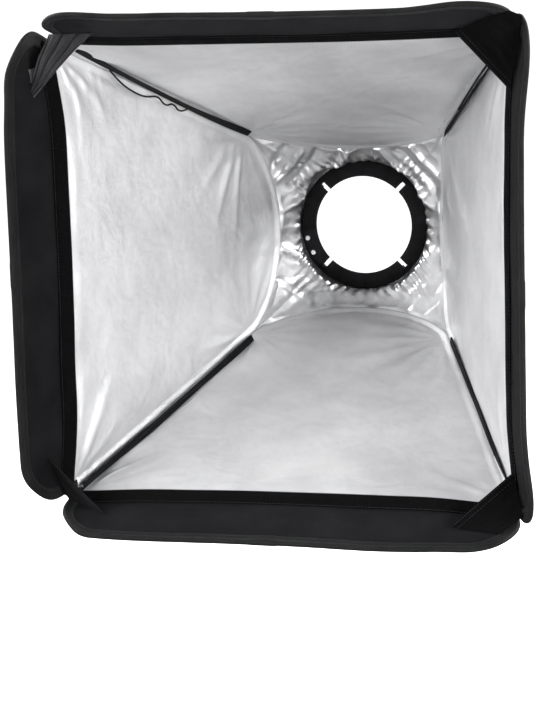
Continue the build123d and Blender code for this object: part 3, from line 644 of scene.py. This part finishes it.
def make_cloth(wall):
    """Black outer cloth; its inner face shows on the lip."""
    points = wall_grid(0.0026, None, *CLOTH_GRID)
    relief = wrinkles(points, CLOTH_SEED + WALL_NUMBER[wall], CLOTH_WRINKLES)
    relief = np.minimum(relief * ease(edge_distance(points), 0.004, 0.02), 0.0006)
    piece = add_piece(
        f"wall_cloth_{wall}", to_frame(wall, points, relief - 0.0008), grid_faces(*CLOTH_GRID),
        "black_cloth", [f"cloth_{wall}", f"spring_wire_{wall}"], thickness=CLOTH_THICKNESS)


def wire_path(count):
    """Evenly spaced points on the wire's path, with the inward direction at each."""
    path = along(closed_outline(0), np.arange(count) / count)
    run = np.roll(path, -1, axis=0) - np.roll(path, 1, axis=0)
    run /= np.linalg.norm(run, axis=1)[:, None]
    inward = np.column_stack([-run[:, 1], run[:, 0]])
    middle = np.array([0, 0.2])
    flip = np.sign(((middle - path) * inward).sum(1))
    return path, inward * flip[:, None]


def make_binding(wall):
    """Folded tape round the wire, sewn to the cloth, overlapped in the middle of the front edge."""
    count = BINDING_COUNT
    path, inward = wire_path(count)
    seed = BINDING_SEED + WALL_NUMBER[wall]
    lip = ease(path[:, 1], LIP_V + 0.004, LIP_V + 0.018)
    wander = noise_field(path, 0.06, seed)
    ripple = noise_field(path, 0.018, seed + 7)
    flap_in = 0.0035 + lip * (0.0068 + 0.0006 * wander)
    flap_out = 0.0105 + 0.0006 * noise_field(path, 0.05, seed + 3)
    position = (np.arange(count) / count + 0.5) % 1 - 0.5
    overlap = ease(position, -0.004, -0.003) * (1 - ease(position, 0.0125, 0.0135))
    thick = 0.0007 + 0.0008 * overlap
    radius = 0.0027 + 0.0004 * overlap + 0.00015 * ripple
    lift_in, lift_out = 0.0002 * ripple + 0.00025 * wander, 0.0002 * ripple
    # Round the tape's section: how far in from the wire, and how high over the wall.
    section = [
        (flap_in, 0.0001), (flap_in, 0.0003 + thick + lift_in),
        (flap_in - 0.0008, 0.0005 + thick + lift_in), (0.0055, 0.0006 + thick + lift_in),
        (0.0038, 0.0009 + thick), (0.8 * radius, 0.8 * radius), (0.3 * radius, radius),
        (-0.35 * radius, 0.97 * radius), (-0.85 * radius, 0.6 * radius),
        (-1.05 * radius, 0.0), (-0.85 * radius, -0.6 * radius),
        (-0.35 * radius, -0.97 * radius), (0.3 * radius, -radius),
        (0.8 * radius, -0.85 * radius), (0.0042, -0.0017 - thick),
        (0.0060, -0.0015 - thick + lift_out),
        (flap_out - 0.0008, -0.0014 - thick + lift_out),
        (flap_out, -0.0012 - thick + lift_out), (flap_out, -0.0011),
    ]
    rings = [
        to_frame(wall, path + inward * np.broadcast_to(reach, (count,))[:, None], height)
        for reach, height in section
    ]
    faces = grid_faces(count, len(section), wrap_rows=True, wrap_columns=True)
    points = np.stack(rings, axis=1).reshape(-1, 3)
    add_piece(f"wall_binding_{wall}", points, faces, "edge_binding", [f"binding_{wall}"])


# --- stitches ---
STITCH_THICKNESS = 0.00035
# Pitch and length of the stitches: binding and seam tape, hook tape, gusset.
TAPE_STITCH, HOOK_STITCH, GUSSET_STITCH = (0.0042, 0.0031), (0.0036, 0.0026), (0.0034, 0.0024)
STITCH_SIDES = 6
# A stitch's cross-sections: place along it and size.
STITCH_SECTIONS = [(0.0, 0.25), (0.22, 1.0), (0.78, 1.0), (1.0, 0.25)]


def stitch_ends(path, pitch, length, total=None):
    """Starts and ends of the stitches along a polyline."""
    if total is None:
        total = float(np.linalg.norm(np.diff(path, axis=0), axis=1).sum())
    count = int(total / pitch)
    starts = (np.arange(count) + 0.2) / count
    return along(path, starts), along(path, np.minimum(starts + length / total, 1))


def make_stitches(name, slot, rows):
    """Separate stitches in rows, each row given by its starts, its ends and the cloth's normal."""
    starts, ends = (np.vstack([row[k] for row in rows]) for k in (0, 1))
    normals = np.vstack([np.tile(normal, (len(first), 1)) for first, _, normal in rows])
    run = ends - starts
    run /= np.linalg.norm(run, axis=1)[:, None]
    side = np.cross(run, normals)
    turns = [2 * pi / STITCH_SIDES * k for k in range(STITCH_SIDES)]
    points = []
    for fraction, size in STITCH_SECTIONS:
        middle = starts + (ends - starts) * fraction
        rise = 0.45 * size - 0.35
        for turn in turns:
            out = side * cos(turn) * size + normals * (sin(turn) * size * 0.7 + rise)
            points.append(middle + out * STITCH_THICKNESS)
    points = np.stack(points, axis=1).reshape(-1, 3)
    per = len(STITCH_SECTIONS) * STITCH_SIDES
    faces = []
    for base in range(0, len(points), per):
        faces += grid_faces(len(STITCH_SECTIONS), STITCH_SIDES, wrap_columns=True, start=base)
        faces.append(tuple(base + k for k in range(STITCH_SIDES - 1, -1, -1)))
        faces.append(tuple(base + per - STITCH_SIDES + k for k in range(STITCH_SIDES)))
    add_piece(name, points, faces, slot, finish="black_thread")


def wall_row(wall, starts, ends, height, face=1):
    """Row of stitches on a wall, on its inner face or, with -1, on its outer one."""
    return (to_frame(wall, starts, height), to_frame(wall, ends, height), wall_normal(wall) * face)


def make_binding_stitches(wall):
    """Stitches that hold the binding: right round outside, along the lip inside."""
    starts, ends = stitch_ends(closed_outline(0.0082), *TAPE_STITCH)
    on_lip = starts[:, 1] > LIP_V + 0.02
    rows = [
        wall_row(wall, starts[on_lip], ends[on_lip], 0.00155),
        wall_row(wall, starts, ends, -0.00215, -1),
    ]
    make_stitches(f"binding_stitches_{wall}", "edge_binding", rows)


# Section of the hook tape: how far forward of the lip's line and how high.
TAPE_SECTION = mm(
    (0, 0.2), (0.2, 0.9), (1.8, 1), (2.4, 1.6), (3.4, 2.1), (11, 2.2), (18.6, 2.1), (19.6, 1.6),
    (20.2, 1), (21.8, 0.9), (22, 0.2),
)


def make_hook_band(wall):
    """Hook tape along the lip, with flat woven edges and two rows of stitches."""
    columns = TAPE_COLUMNS
    outline = half_outline(0.0026)
    seed = TAPE_SEED + WALL_NUMBER[wall]
    rows = []
    for offset, height in TAPE_SECTION:
        v = np.full(columns, LIP_V + offset)
        half = float(np.interp(v[0], outline[:, 1], outline[:, 0]))
        u = np.linspace(-half, half, columns)
        sway = 0.0005 * noise_field(np.column_stack([u, np.full(columns, 0.3)]), 0.05, seed)
        lift = 0.0004 * noise_field(np.column_stack([u, np.full(columns, 0.7)]), 0.035, seed + 3)
        heights = height + np.maximum(lift, -0.0001)
        rows.append(to_frame(wall, np.column_stack([u, v + sway]), heights))
    faces = grid_faces(len(TAPE_SECTION), columns)
    add_piece(f"hook_tape_{wall}", np.vstack(rows), faces, "hook_tape", [f"hook_band_{wall}"])
    rows = []
    for offset in (0.0011, 0.0209):
        v = LIP_V + offset
        half = float(np.interp(v, outline[:, 1], outline[:, 0])) - 0.003
        ends = stitch_ends(np.array([[-half, v], [half, v]]), *HOOK_STITCH)
        rows.append(wall_row(wall, *ends, 0.0012))
    make_stitches(f"hook_stitches_{wall}", "edge_binding", rows)


# --- corners ---
def seam_point(signs, depth, inset=0.0):
    half = CORNER_HALF + WALL_SLOPE * depth - inset / sqrt(2)
    return Vector((signs[0] * half, CORNER_Y - depth, AXIS_Z + signs[1] * half))


# Section of a flat strip with rounded edges, in widths and thicknesses.
RIBBON_SECTION = [
    (-0.5, 0), (-0.44, 0.5), (-0.2, 0.5), (0.2, 0.5), (0.44, 0.5), (0.5, 0), (0.44, -0.5),
    (0.2, -0.5), (-0.2, -0.5), (-0.44, -0.5),
]


def make_ribbon(name, centres, sides, ups, widths, thickness, slot, nodes):
    """Flat strip along a row of centres."""
    points = []
    for centre, side, up, width in zip(centres, sides, ups, widths):
        for across, high in RIBBON_SECTION:
            points.append(centre + side * across * width + up * high * thickness)
    count, per = len(centres), len(RIBBON_SECTION)
    faces = grid_faces(count, per, wrap_columns=True)
    faces.append(tuple(range(per - 1, -1, -1)))
    faces.append(tuple((count - 1) * per + k for k in range(per)))
    add_piece(name, points, faces, slot, nodes)


# Each strap's rear and front end: depth, distance from the seam and shift to the side.
STRAP_ENDS = {
    "top_left": mm((1, 10.4, -5), (278, 13.8, -11)),
    "top_right": mm((6, 8.8, 1.4), (278, 8.5, 2.8)),
    "bottom_left": mm((10, 12.2, -4.6), (290, 12, -3.8)),
    "bottom_right": mm((15, 9.2, 3.6), (280, 10.8, 6.8)),
}
# Turn of the strap about its length, in degrees, at its rear end, middle and front end.
STRAP_TWIST = {
    "top_left": (0, -40, -24), "top_right": (-60, -70, -75),
    "bottom_left": (-30, 6, -60), "bottom_right": (34, 26, 58),
}
STRAP_SAG = {"top_left": 0.0040, "top_right": 0.0, "bottom_left": 0.0020, "bottom_right": 0.0}
STRAP_WIDTH, STRAP_THICKNESS = 0.0082, 0.0013


def corner_point(signs, depth, inset, shift):
    """Point in a corner, moved in from the seam along the diagonal and to the side."""
    across = Vector((signs[0] * shift, 0, -signs[1] * shift)) / sqrt(2)
    return seam_point(signs, depth, inset) + across


def corner_axes(signs, start, end):
    """Directions in a corner: along the seam, across it, and square to both."""
    run = (end - start).normalized()
    across = Vector((signs[0], 0, -signs[1])).normalized()
    return run, across, run.cross(across).normalized()


def make_strap(corner, signs):
    """Flat webbing from the rear corner to the front corner, twisting on its way."""
    count = STRAP_COUNT
    start, end = (corner_point(signs, *place) for place in STRAP_ENDS[corner])
    _, across, inward = corner_axes(signs, start, end)
    rear, middle, front = STRAP_TWIST[corner]
    centres, sides, ups = [], [], []
    for i in range(count):
        t = i / (count - 1)
        sag = Vector((0, 0, -STRAP_SAG[corner] * 4 * t * (1 - t)))
        centres.append(start.lerp(end, t) + sag + inward * 0.0006 * sin(9 * t + signs[0]))
        turn = rear + (middle - rear) * float(ease(t, 0, 0.55))
        turn += (front - middle) * float(ease(t, 0.6, 1))
        turn = radians(turn + 3 * sin(14 * t))
        sides.append(across * cos(turn) + inward * sin(turn))
        ups.append(inward * cos(turn) - across * sin(turn))
    widths = [STRAP_WIDTH] * count
    make_ribbon(f"strap_{corner}", centres, sides, ups, widths, STRAP_THICKNESS, "black_webbing",
                [f"corner_strap_{corner}"])


# Routes of the elastic loops beside their straps: distance forward, rise, shift to the side.
HANGING_LOOP = mm(
    (92, 2.2, 0), (112, 6, 0.8), (136, 10, 1.4), (160, 12, 1.6), (184, 11.4, 1.2), (207, 8, 0.6),
    (226, 2.2, 0),
)
RESTING_LOOP = mm(
    (92, 2.2, 0), (112, 3.4, 1.2), (136, 4.2, 2.6), (160, 4, 3.2), (184, 4.2, 2.2), (207, 3.2, 1),
    (226, 2.2, 0),
)
SCALLOPED_LOOP = mm(
    (103, 3.7, -2.3), (115, 9.5, 5), (127, 4.8, -1.6), (139, 10, 4.5), (152, 5.4, -2),
    (171, 11, 4.1), (192, 11.5, 3.8), (211, 9.3, 1), (227, 5.3, -5.3),
)
# Each corner's route, the cord's length, and how far the whole route is shifted to the side.
LOOPS = {
    "top_right": (HANGING_LOOP, 0.154, 0),
    "bottom_right": (RESTING_LOOP, 0.154, 0.0045),
    "bottom_left": (RESTING_LOOP, 0.154, -0.0065),
    "top_left": (SCALLOPED_LOOP, 0.150, 0),
}


def make_loop(corner, signs):
    """Thin elastic cord, sewn to the strap at both ends."""
    points, length, aside = LOOPS[corner]
    route = [corner_point(signs, depth, STRAP_INSET + rise, shift + aside)
             for depth, rise, shift in points]
    data = bpy.data.curves.new(f"elastic_loop_{corner}", "CURVE")
    data.dimensions = "3D"
    data.bevel_depth = CORD_RADIUS
    data.bevel_resolution = 4
    data.resolution_u = 12
    data.use_fill_caps = True
    spline = data.splines.new("NURBS")
    spline.points.add(len(route) - 1)
    for made, point in zip(spline.points, route):
        made.co = (*point, 1)
    spline.order_u = 3
    spline.use_endpoint_u = True
    data.materials.append(MATERIALS["black_elastic"])
    piece = bpy.data.objects.new(f"elastic_loop_{corner}", data)
    finish_piece(piece, [f"diffuser_loop_{corner}"])


def make_seam_tape(corner, signs):
    """Folded tape over the outside of a seam between two walls, sewn along both edges."""
    count = SEAM_TAPE_COUNT
    half_angle = acos(SLOPE_SINE**2) / 2
    rise = SLEEVE_RADIUS - SEAM_INSET * sin(half_angle) + 0.0007
    start, end = seam_point(signs, -0.009, -rise), seam_point(signs, LIP_DEPTH, -rise)
    _, across, outward = corner_axes(signs, start, end)
    if outward.dot(Vector((signs[0], 0, signs[1]))) < 0:
        outward = -outward
    centres = [start.lerp(end, i / (count - 1)) for i in range(count)]
    centres = [c + outward * 0.0003 * sin(11 * i / count) for i, c in enumerate(centres)]
    widths = [0.009 + 0.0003 * sin(17 * i / count) for i in range(count)]
    make_ribbon(f"seam_cover_{corner}", centres, [across] * count, [outward] * count, widths, 0.0010,
                "edge_binding", [f"seam_tape_{corner}"])
    rows = []
    for side in (-0.0033, 0.0033):
        shift = across * side + outward * 0.0006
        line = np.array([start + shift, end + shift])
        rows.append((*stitch_ends(line, *TAPE_STITCH), outward))
    make_stitches(f"seam_stitches_{corner}", "edge_binding", rows)


GUSSET_DEPTH = 0.328
HEM_WIDTH = 0.0078
GUSSET_GRID = (90, 90)
GUSSET_THICKNESS = 0.0007
# A flat gusset's ends on its two lips: the wall, and there the ends of its free and its outer edge.
FLAT_GUSSETS = {
    "top_right": {
        "top": mm((186.5, 336), (236, 378)), "right": mm((-184, 342), (-240, 376)),
    },
    "bottom_right": {
        "right": mm((196, 334), (232, 362)), "bottom": mm((-178, 361.5), (-228, 366)),
    },
    "bottom_left": {
        "bottom": mm((189.5, 356), (234, 334)), "left": mm((-188, 362), (-234, 334)),
    },
}
# Each gusset's finish, the side of the square it is half of, and how it is held.
# The top-left gusset's finish is the black cloth painted lighter, painted light; the top-right and
# bottom-right ones' is painted darker, painted shade.
GUSSET_CUTS = {
    "top_right": ("gusset_cloth_painted_shade", 0.076, "stretched"),
    "bottom_right": ("gusset_cloth_painted_shade", 0.076, "stretched"),
    "bottom_left": ("black_cloth", 0.062, "stretched"),
    "top_left": ("slack_cloth_painted_light", 0.075, "gathered"),
}
# Edges of the crumpled gusset, (across, up) from the ring's axis: its free edge and its outer edge.
CRUMPLED_FREE = mm(
    (180, 247.5), (193, 235), (208.5, 219.5), (227, 201), (245, 184),
)
CRUMPLED_OUTER = mm(
    (226, 247.5), (229, 238), (236, 225), (242, 208), (247.5, 192),
)


def flat_gusset(corner, rows, columns):
    """Rulings between the two lips, from the hemmed free edge outwards, with soft pull lines."""
    sides = []
    for wall, (free, outer) in FLAT_GUSSETS[corner].items():
        sides.append(to_frame(wall, np.linspace(free, outer, rows), 0.0032))
    share = np.linspace(0, 1, columns)[None, :, None]
    grid = sides[0][:, None] * (1 - share) + sides[1][:, None] * share
    inset = np.linalg.norm(grid - grid[:1], axis=2).ravel()
    grid = grid.reshape(-1, 3)
    flat = grid[:, [0, 2]]
    seed = GUSSET_SEED + list(CORNERS).index(corner)
    middle = np.tile(np.sin(pi * np.linspace(0, 1, columns)), rows)
    pulls = np.sin(inset * 420 + 1.6 * noise_field(flat, 0.03, seed + 8))
    relief = (wrinkles(flat, seed, GUSSET_WRINKLES) + 0.0010 * pulls) * middle
    relief *= ease(inset, HEM_WIDTH, 2 * HEM_WIDTH)
    grid[:, 1] += relief - 0.0007 * (1 - ease(inset, HEM_WIDTH - 0.0006, HEM_WIDTH))
    return grid


def crumpled_gusset(signs, rows, columns):
    """Slack cloth that hangs in long folds, gathered towards its lower end."""
    t, across = np.linspace(0, 1, rows), np.linspace(0, 1, columns)
    free, outer = along(np.array(CRUMPLED_FREE), t), along(np.array(CRUMPLED_OUTER), t)
    plane = (free[:, None] + (outer - free)[:, None] * across[None, :, None]).reshape(-1, 2)
    t, across = np.repeat(t, columns), np.tile(across, rows)
    wander = 0.35 * noise_field(plane, 0.03, CRUMPLE_SEED)
    phase = across * 3.1 + wander + 0.25 * np.sin(3 * t)
    ridges = 1 - 2 * np.abs(np.sin(pi * phase)) ** 0.7
    relief = 0.0028 * ridges * (0.45 + 0.55 * (1 - t))
    relief += 0.0004 * np.sin(2 * pi * (across * 8.3 + 2 * wander))
    relief += 0.0004 * noise_field(plane, 0.006, CRUMPLE_SEED + 1)
    relief -= 0.004 * np.sin(pi * t)
    x, z = signs[0] * plane[:, 0], AXIS_Z + signs[1] * plane[:, 1]
    return np.column_stack([x, CORNER_Y - GUSSET_DEPTH + relief, z])


def make_gusset(corner, signs):
    """Cloth across the corner between two lips, pulled flat with a hem or crumpled."""
    flat = corner in FLAT_GUSSETS
    points = flat_gusset(corner, *GUSSET_GRID) if flat else crumpled_gusset(signs, *GUSSET_GRID)
    # the finish puts painted light or painted shade into the colour of three of the gussets
    finish, side, held = GUSSET_CUTS[corner]
    piece = add_piece(
        f"corner_gusset_{corner}", points, grid_faces(*GUSSET_GRID), "black_cloth",
        [f"gusset_{corner}"], finish, GUSSET_THICKNESS)
    if not flat:
        return
    grid, toward, rows = points.reshape(*GUSSET_GRID, 3), np.array([0, -1.0, 0]), []
    middle = grid[:, GUSSET_GRID[1] // 2]
    for inset in (0.0012, HEM_WIDTH - 0.0012):
        row = int(np.searchsorted(np.linalg.norm(middle - middle[0], axis=1), inset))
        line = grid[row] + toward * 0.0004
        length = float(np.linalg.norm(line[-1] - line[0]))
        rows.append((*stitch_ends(line, *GUSSET_STITCH, length), toward))
    make_stitches(f"gusset_stitches_{corner}", "black_cloth", rows)


def make_label():
    """Small blank tab sewn to the left lip."""
    width, length = 0.0125, 0.0115
    place = np.array([0.2045, 0.3495])
    rows, columns = 12, 16
    a, b = np.linspace(-0.5, 0.5, columns), np.linspace(-0.5, 0.5, rows)
    points = place + np.column_stack([np.tile(a, rows) * width, np.repeat(b, columns) * length])
    across = (points[:, 0] - place[0]) / width
    heights = 0.0007 + 0.0005 * np.cos(across * 5) + 0.0002 * np.sin(points[:, 1] * 900)
    add_piece("blank_tab", to_frame("left", points, heights), grid_faces(rows, columns), "label",
              ["label_tab"], thickness=TAB_THICKNESS)


# --- rear panel ---
def rear_rim():
    """Radius of the panel's edge on a wall and half the angle it spans, round the arc's centre."""
    radius = ARC_RADIUS + 0.0035
    u, v = seam_meets_circle(CORNER_HALF, radius)
    return radius, atan2(u, ARC_CENTRE_V - v)


# Folds of the rear foil: start, end (across, up from the ring's axis), width and height.
REAR_FOLDS = mm(
    ((-96, 16), (4, 104), 4, 5.5), ((-88, 46), (-42, 98), 3.5, -4),
    ((-100, 52), (-62, 96), 3, 3.5), ((-108, 62), (-76, 104), 3, -3.5),
    ((20, 100), (92, 18), 4, 5), ((46, 98), (98, 40), 3.5, -3.5), ((58, 106), (104, 56), 3, 3),
    ((-20, 100), (-12, 80), 3, 3), ((22, 100), (20, 80), 3, 3), ((-96, -20), (-34, -86), 4.5, 4),
    ((-104, -54), (-50, -92), 3.5, -3.5), ((94, -22), (40, -86), 5, 3),
)
REAR_ROWS, REAR_COLUMNS = 84, 124
HEM_SHARE = 0.953
# The panel's layers: finish, CAD node, how far back each lies, how much it stands off the folds.
REAR_LAYERS = {
    "rear_foil": ("silver_foil", ["rear_panel"], 0.0001, 1.0),
    "rear_cloth": ("black_cloth", [], 0.0007, -0.4),
}


def rear_edges():
    """The panel's rim on the walls, its edge on the ring, the angle at each, and the cloth's lap."""
    radius, reach = rear_rim()
    ring = RING_RADIUS + 0.0008
    rim, inner, angles, laps = [], [], [], []
    for wall in WALLS:
        turn = np.linspace(-reach, reach, REAR_COLUMNS, endpoint=False)
        points = np.column_stack([radius * np.sin(turn), ARC_CENTRE_V - radius * np.cos(turn)])
        rim.append(to_frame(wall, points, 0.0))
        tucked = np.column_stack([points[:, 0] * 0.985, points[:, 1] + 0.0012])
        laps.append(to_frame(wall, tucked, -0.0026) - rim[-1])
        share = np.linspace(-0.25, 0.25, REAR_COLUMNS, endpoint=False) * pi
        angle = radians(WALLS[wall]) + share
        ring_y = np.full(REAR_COLUMNS, RING_REAR_Y + 0.0003)
        inner.append(np.column_stack([ring * np.sin(angle), ring_y, AXIS_Z + ring * np.cos(angle)]))
        angles.append(angle)
    return np.vstack(rim), np.vstack(inner), np.concatenate(angles), np.vstack(laps)


def rear_relief(flat, t, angle):
    """Height of the foil's creases, pleats and folds, t running from the rim to the ring."""
    wide, deep = np.abs(flat[:, 0]), np.abs(flat[:, 1])
    sway = 0.05 * np.sign(flat[:, 0] * flat[:, 1])
    drawn = np.column_stack([(wide + deep) * 2.2, (wide - deep) * 0.7 + sway])
    relief = np.zeros(len(flat))
    for height, points, size, seed in (
        (0.0030, drawn, 0.044, 1), (0.0008, drawn, 0.020, 2), (0.0008, flat, 0.022, 4)
    ):
        relief += height * (crease_field(points, size, seed) - 0.45)
    relief += 0.0030 * noise_field(flat, 0.05, REAR_SEED) + 0.0034 * ease(t, 0.15, 0.8)
    pleats = np.sin(angle * 46 + 2.2 * noise_field(flat, 0.02, REAR_SEED + 1))
    relief += 0.0009 * pleats * ease(t, 0.45, 0.9) * (1 - ease(t, 0.97, 1.0))
    for crease in REAR_FOLDS:
        relief += fold(flat, *crease, 0.15)
    return relief


def make_rear_panel():
    """Silver foil inside and black cloth outside, from the walls' rear arcs to the ring."""
    rim, inner, angle, lap = rear_edges()
    around = len(angle)
    t = gathered(REAR_ROWS)[:, None, None]
    grid = (rim[None] * (1 - t) + inner[None] * t).reshape(-1, 3)
    t, angle = np.repeat(t.ravel(), around), np.tile(angle, REAR_ROWS)
    flat = np.column_stack([grid[:, 0], grid[:, 2] - AXIS_Z])
    window = ease(t, 0.0, 0.18) * (1 - ease(t, 0.88, 1.0))
    relief = rear_relief(flat, t, angle) * window
    middle = np.column_stack([-flat[:, 0], np.zeros(len(flat)), -flat[:, 1]])
    middle /= np.linalg.norm(middle, axis=1)[:, None]
    normal = np.array([0, -1.0, 0]) * 0.8 + middle * 0.6
    hem = grid[-around:].copy()
    hem[:, 0] *= HEM_SHARE
    hem[:, 2] = AXIS_Z + (hem[:, 2] - AXIS_Z) * HEM_SHARE
    faces = grid_faces(REAR_ROWS + 1, around, wrap_columns=True)
    for name, (slot, nodes, back, stand) in REAR_LAYERS.items():
        points = grid + normal * (relief + 0.0012 * window * stand)[:, None]
        if name == "rear_cloth":
            points += (1 - ease(t, 0.0, 0.14))[:, None] * np.tile(lap, (REAR_ROWS, 1))
        points = np.vstack([points, hem])
        points[:, 1] += back
        piece = add_piece(name, points, faces, slot, nodes, thickness=REAR_THICKNESS)


# --- the rest of the assembly keeps its CAD shape ---
CARRIED = {
    "black_metal": [
        "speed_ring", "rear_ring", "bracket_hoop", "bracket_arm", "cold_shoe", "tilt_knuckle",
    ],
    "zinc_steel": [
        "ring_screws", "catch_screws", "ring_catch", "arm_bolts", "shoe_screws", "knuckle_screws",
        "tilt_bolt", "tilt_washers",
    ],
    "black_plastic": [
        "shoe_carriage", "shoe_thumbscrew", "stand_clamp", "tilt_lever", "stand_screw",
    ],
}


def shade_cad_nodes():
    """Gives each carried-over CAD node its slot's finish."""
    for slot, names in CARRIED.items():
        for name in names:
            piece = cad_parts[name]
            piece.data.materials.clear()
            piece.data.materials.append(MATERIALS[slot])


# --- stage ---
WORLD_STRENGTH = 0.18
FLOOR_HALF, FLOOR_Z = 120.0, -0.62
FRONT_AIM, REAR_AIM = (0, -0.2, 0.24), (0, 0, 0.24)
# Square lamps: place, size, power and aim.
LAMPS = {
    "key": ((1.9, -2.0, 0.4), 1.1, 84, FRONT_AIM),
    "fill": ((-1.7, -1.7, 1.5), 0.9, 66, FRONT_AIM),
    "low": ((-1.2, -2.2, -0.4), 0.9, 26, FRONT_AIM),
    "back": ((0.3, 2.2, 1.7), 1.6, 16, REAR_AIM),
    "right rim": ((2.2, 1.1, 1.5), 1.2, 90, REAR_AIM),
    "left rim": ((-2.2, 1.1, 1.5), 1.2, 90, REAR_AIM),
}


def make_floor():
    """Plain pale floor that glows white and lights nothing."""
    low, high = -FLOOR_HALF, FLOOR_HALF
    corners = [(x, y, FLOOR_Z) for x, y in ((low, low), (high, low), (high, high), (low, high))]
    mesh = bpy.data.meshes.new("floor")
    mesh.from_pydata(corners, [], [(0, 1, 2, 3)])
    floor = bpy.data.objects.new("floor", mesh)
    link(floor)
    floor.visible_diffuse = False
    floor.visible_glossy = False
    mesh.materials.append(make_finish(
        "studio_floor", (0.8, 3), ((0.93, 0.93, 0.93), (0.96, 0.96, 0.96)),
        Roughness=0.8, Emission_Color=(1, 1, 1, 1), Emission_Strength=1.0))


def make_lights():
    scene = bpy.context.scene
    scene.view_settings.view_transform = "Standard"
    world = bpy.data.worlds.new("studio")
    scene.world = world
    world.use_nodes = True
    background = world.node_tree.nodes["Background"]
    background.inputs["Color"].default_value = (1, 1, 1, 1)
    background.inputs["Strength"].default_value = WORLD_STRENGTH
    for name, (place, size, power, aim) in LAMPS.items():
        data = bpy.data.lights.new(name, "AREA")
        data.shape = "SQUARE"
        data.size = size
        data.energy = power
        lamp = bpy.data.objects.new(name, data)
        lamp.location = place
        lamp.rotation_euler = (Vector(aim) - Vector(place)).to_track_quat("-Z", "Y").to_euler()
        link(lamp)


make_camera()
for corner, signs in CORNERS.items():
    make_loop(corner, signs)
for wall in WALLS:
    make_lining(wall)
    make_cloth(wall)
    make_binding(wall)
    make_binding_stitches(wall)
    make_hook_band(wall)
for corner, signs in CORNERS.items():
    make_strap(corner, signs)
    make_seam_tape(corner, signs)
    make_gusset(corner, signs)
make_label()
make_rear_panel()
shade_cad_nodes()
make_floor()
make_lights()
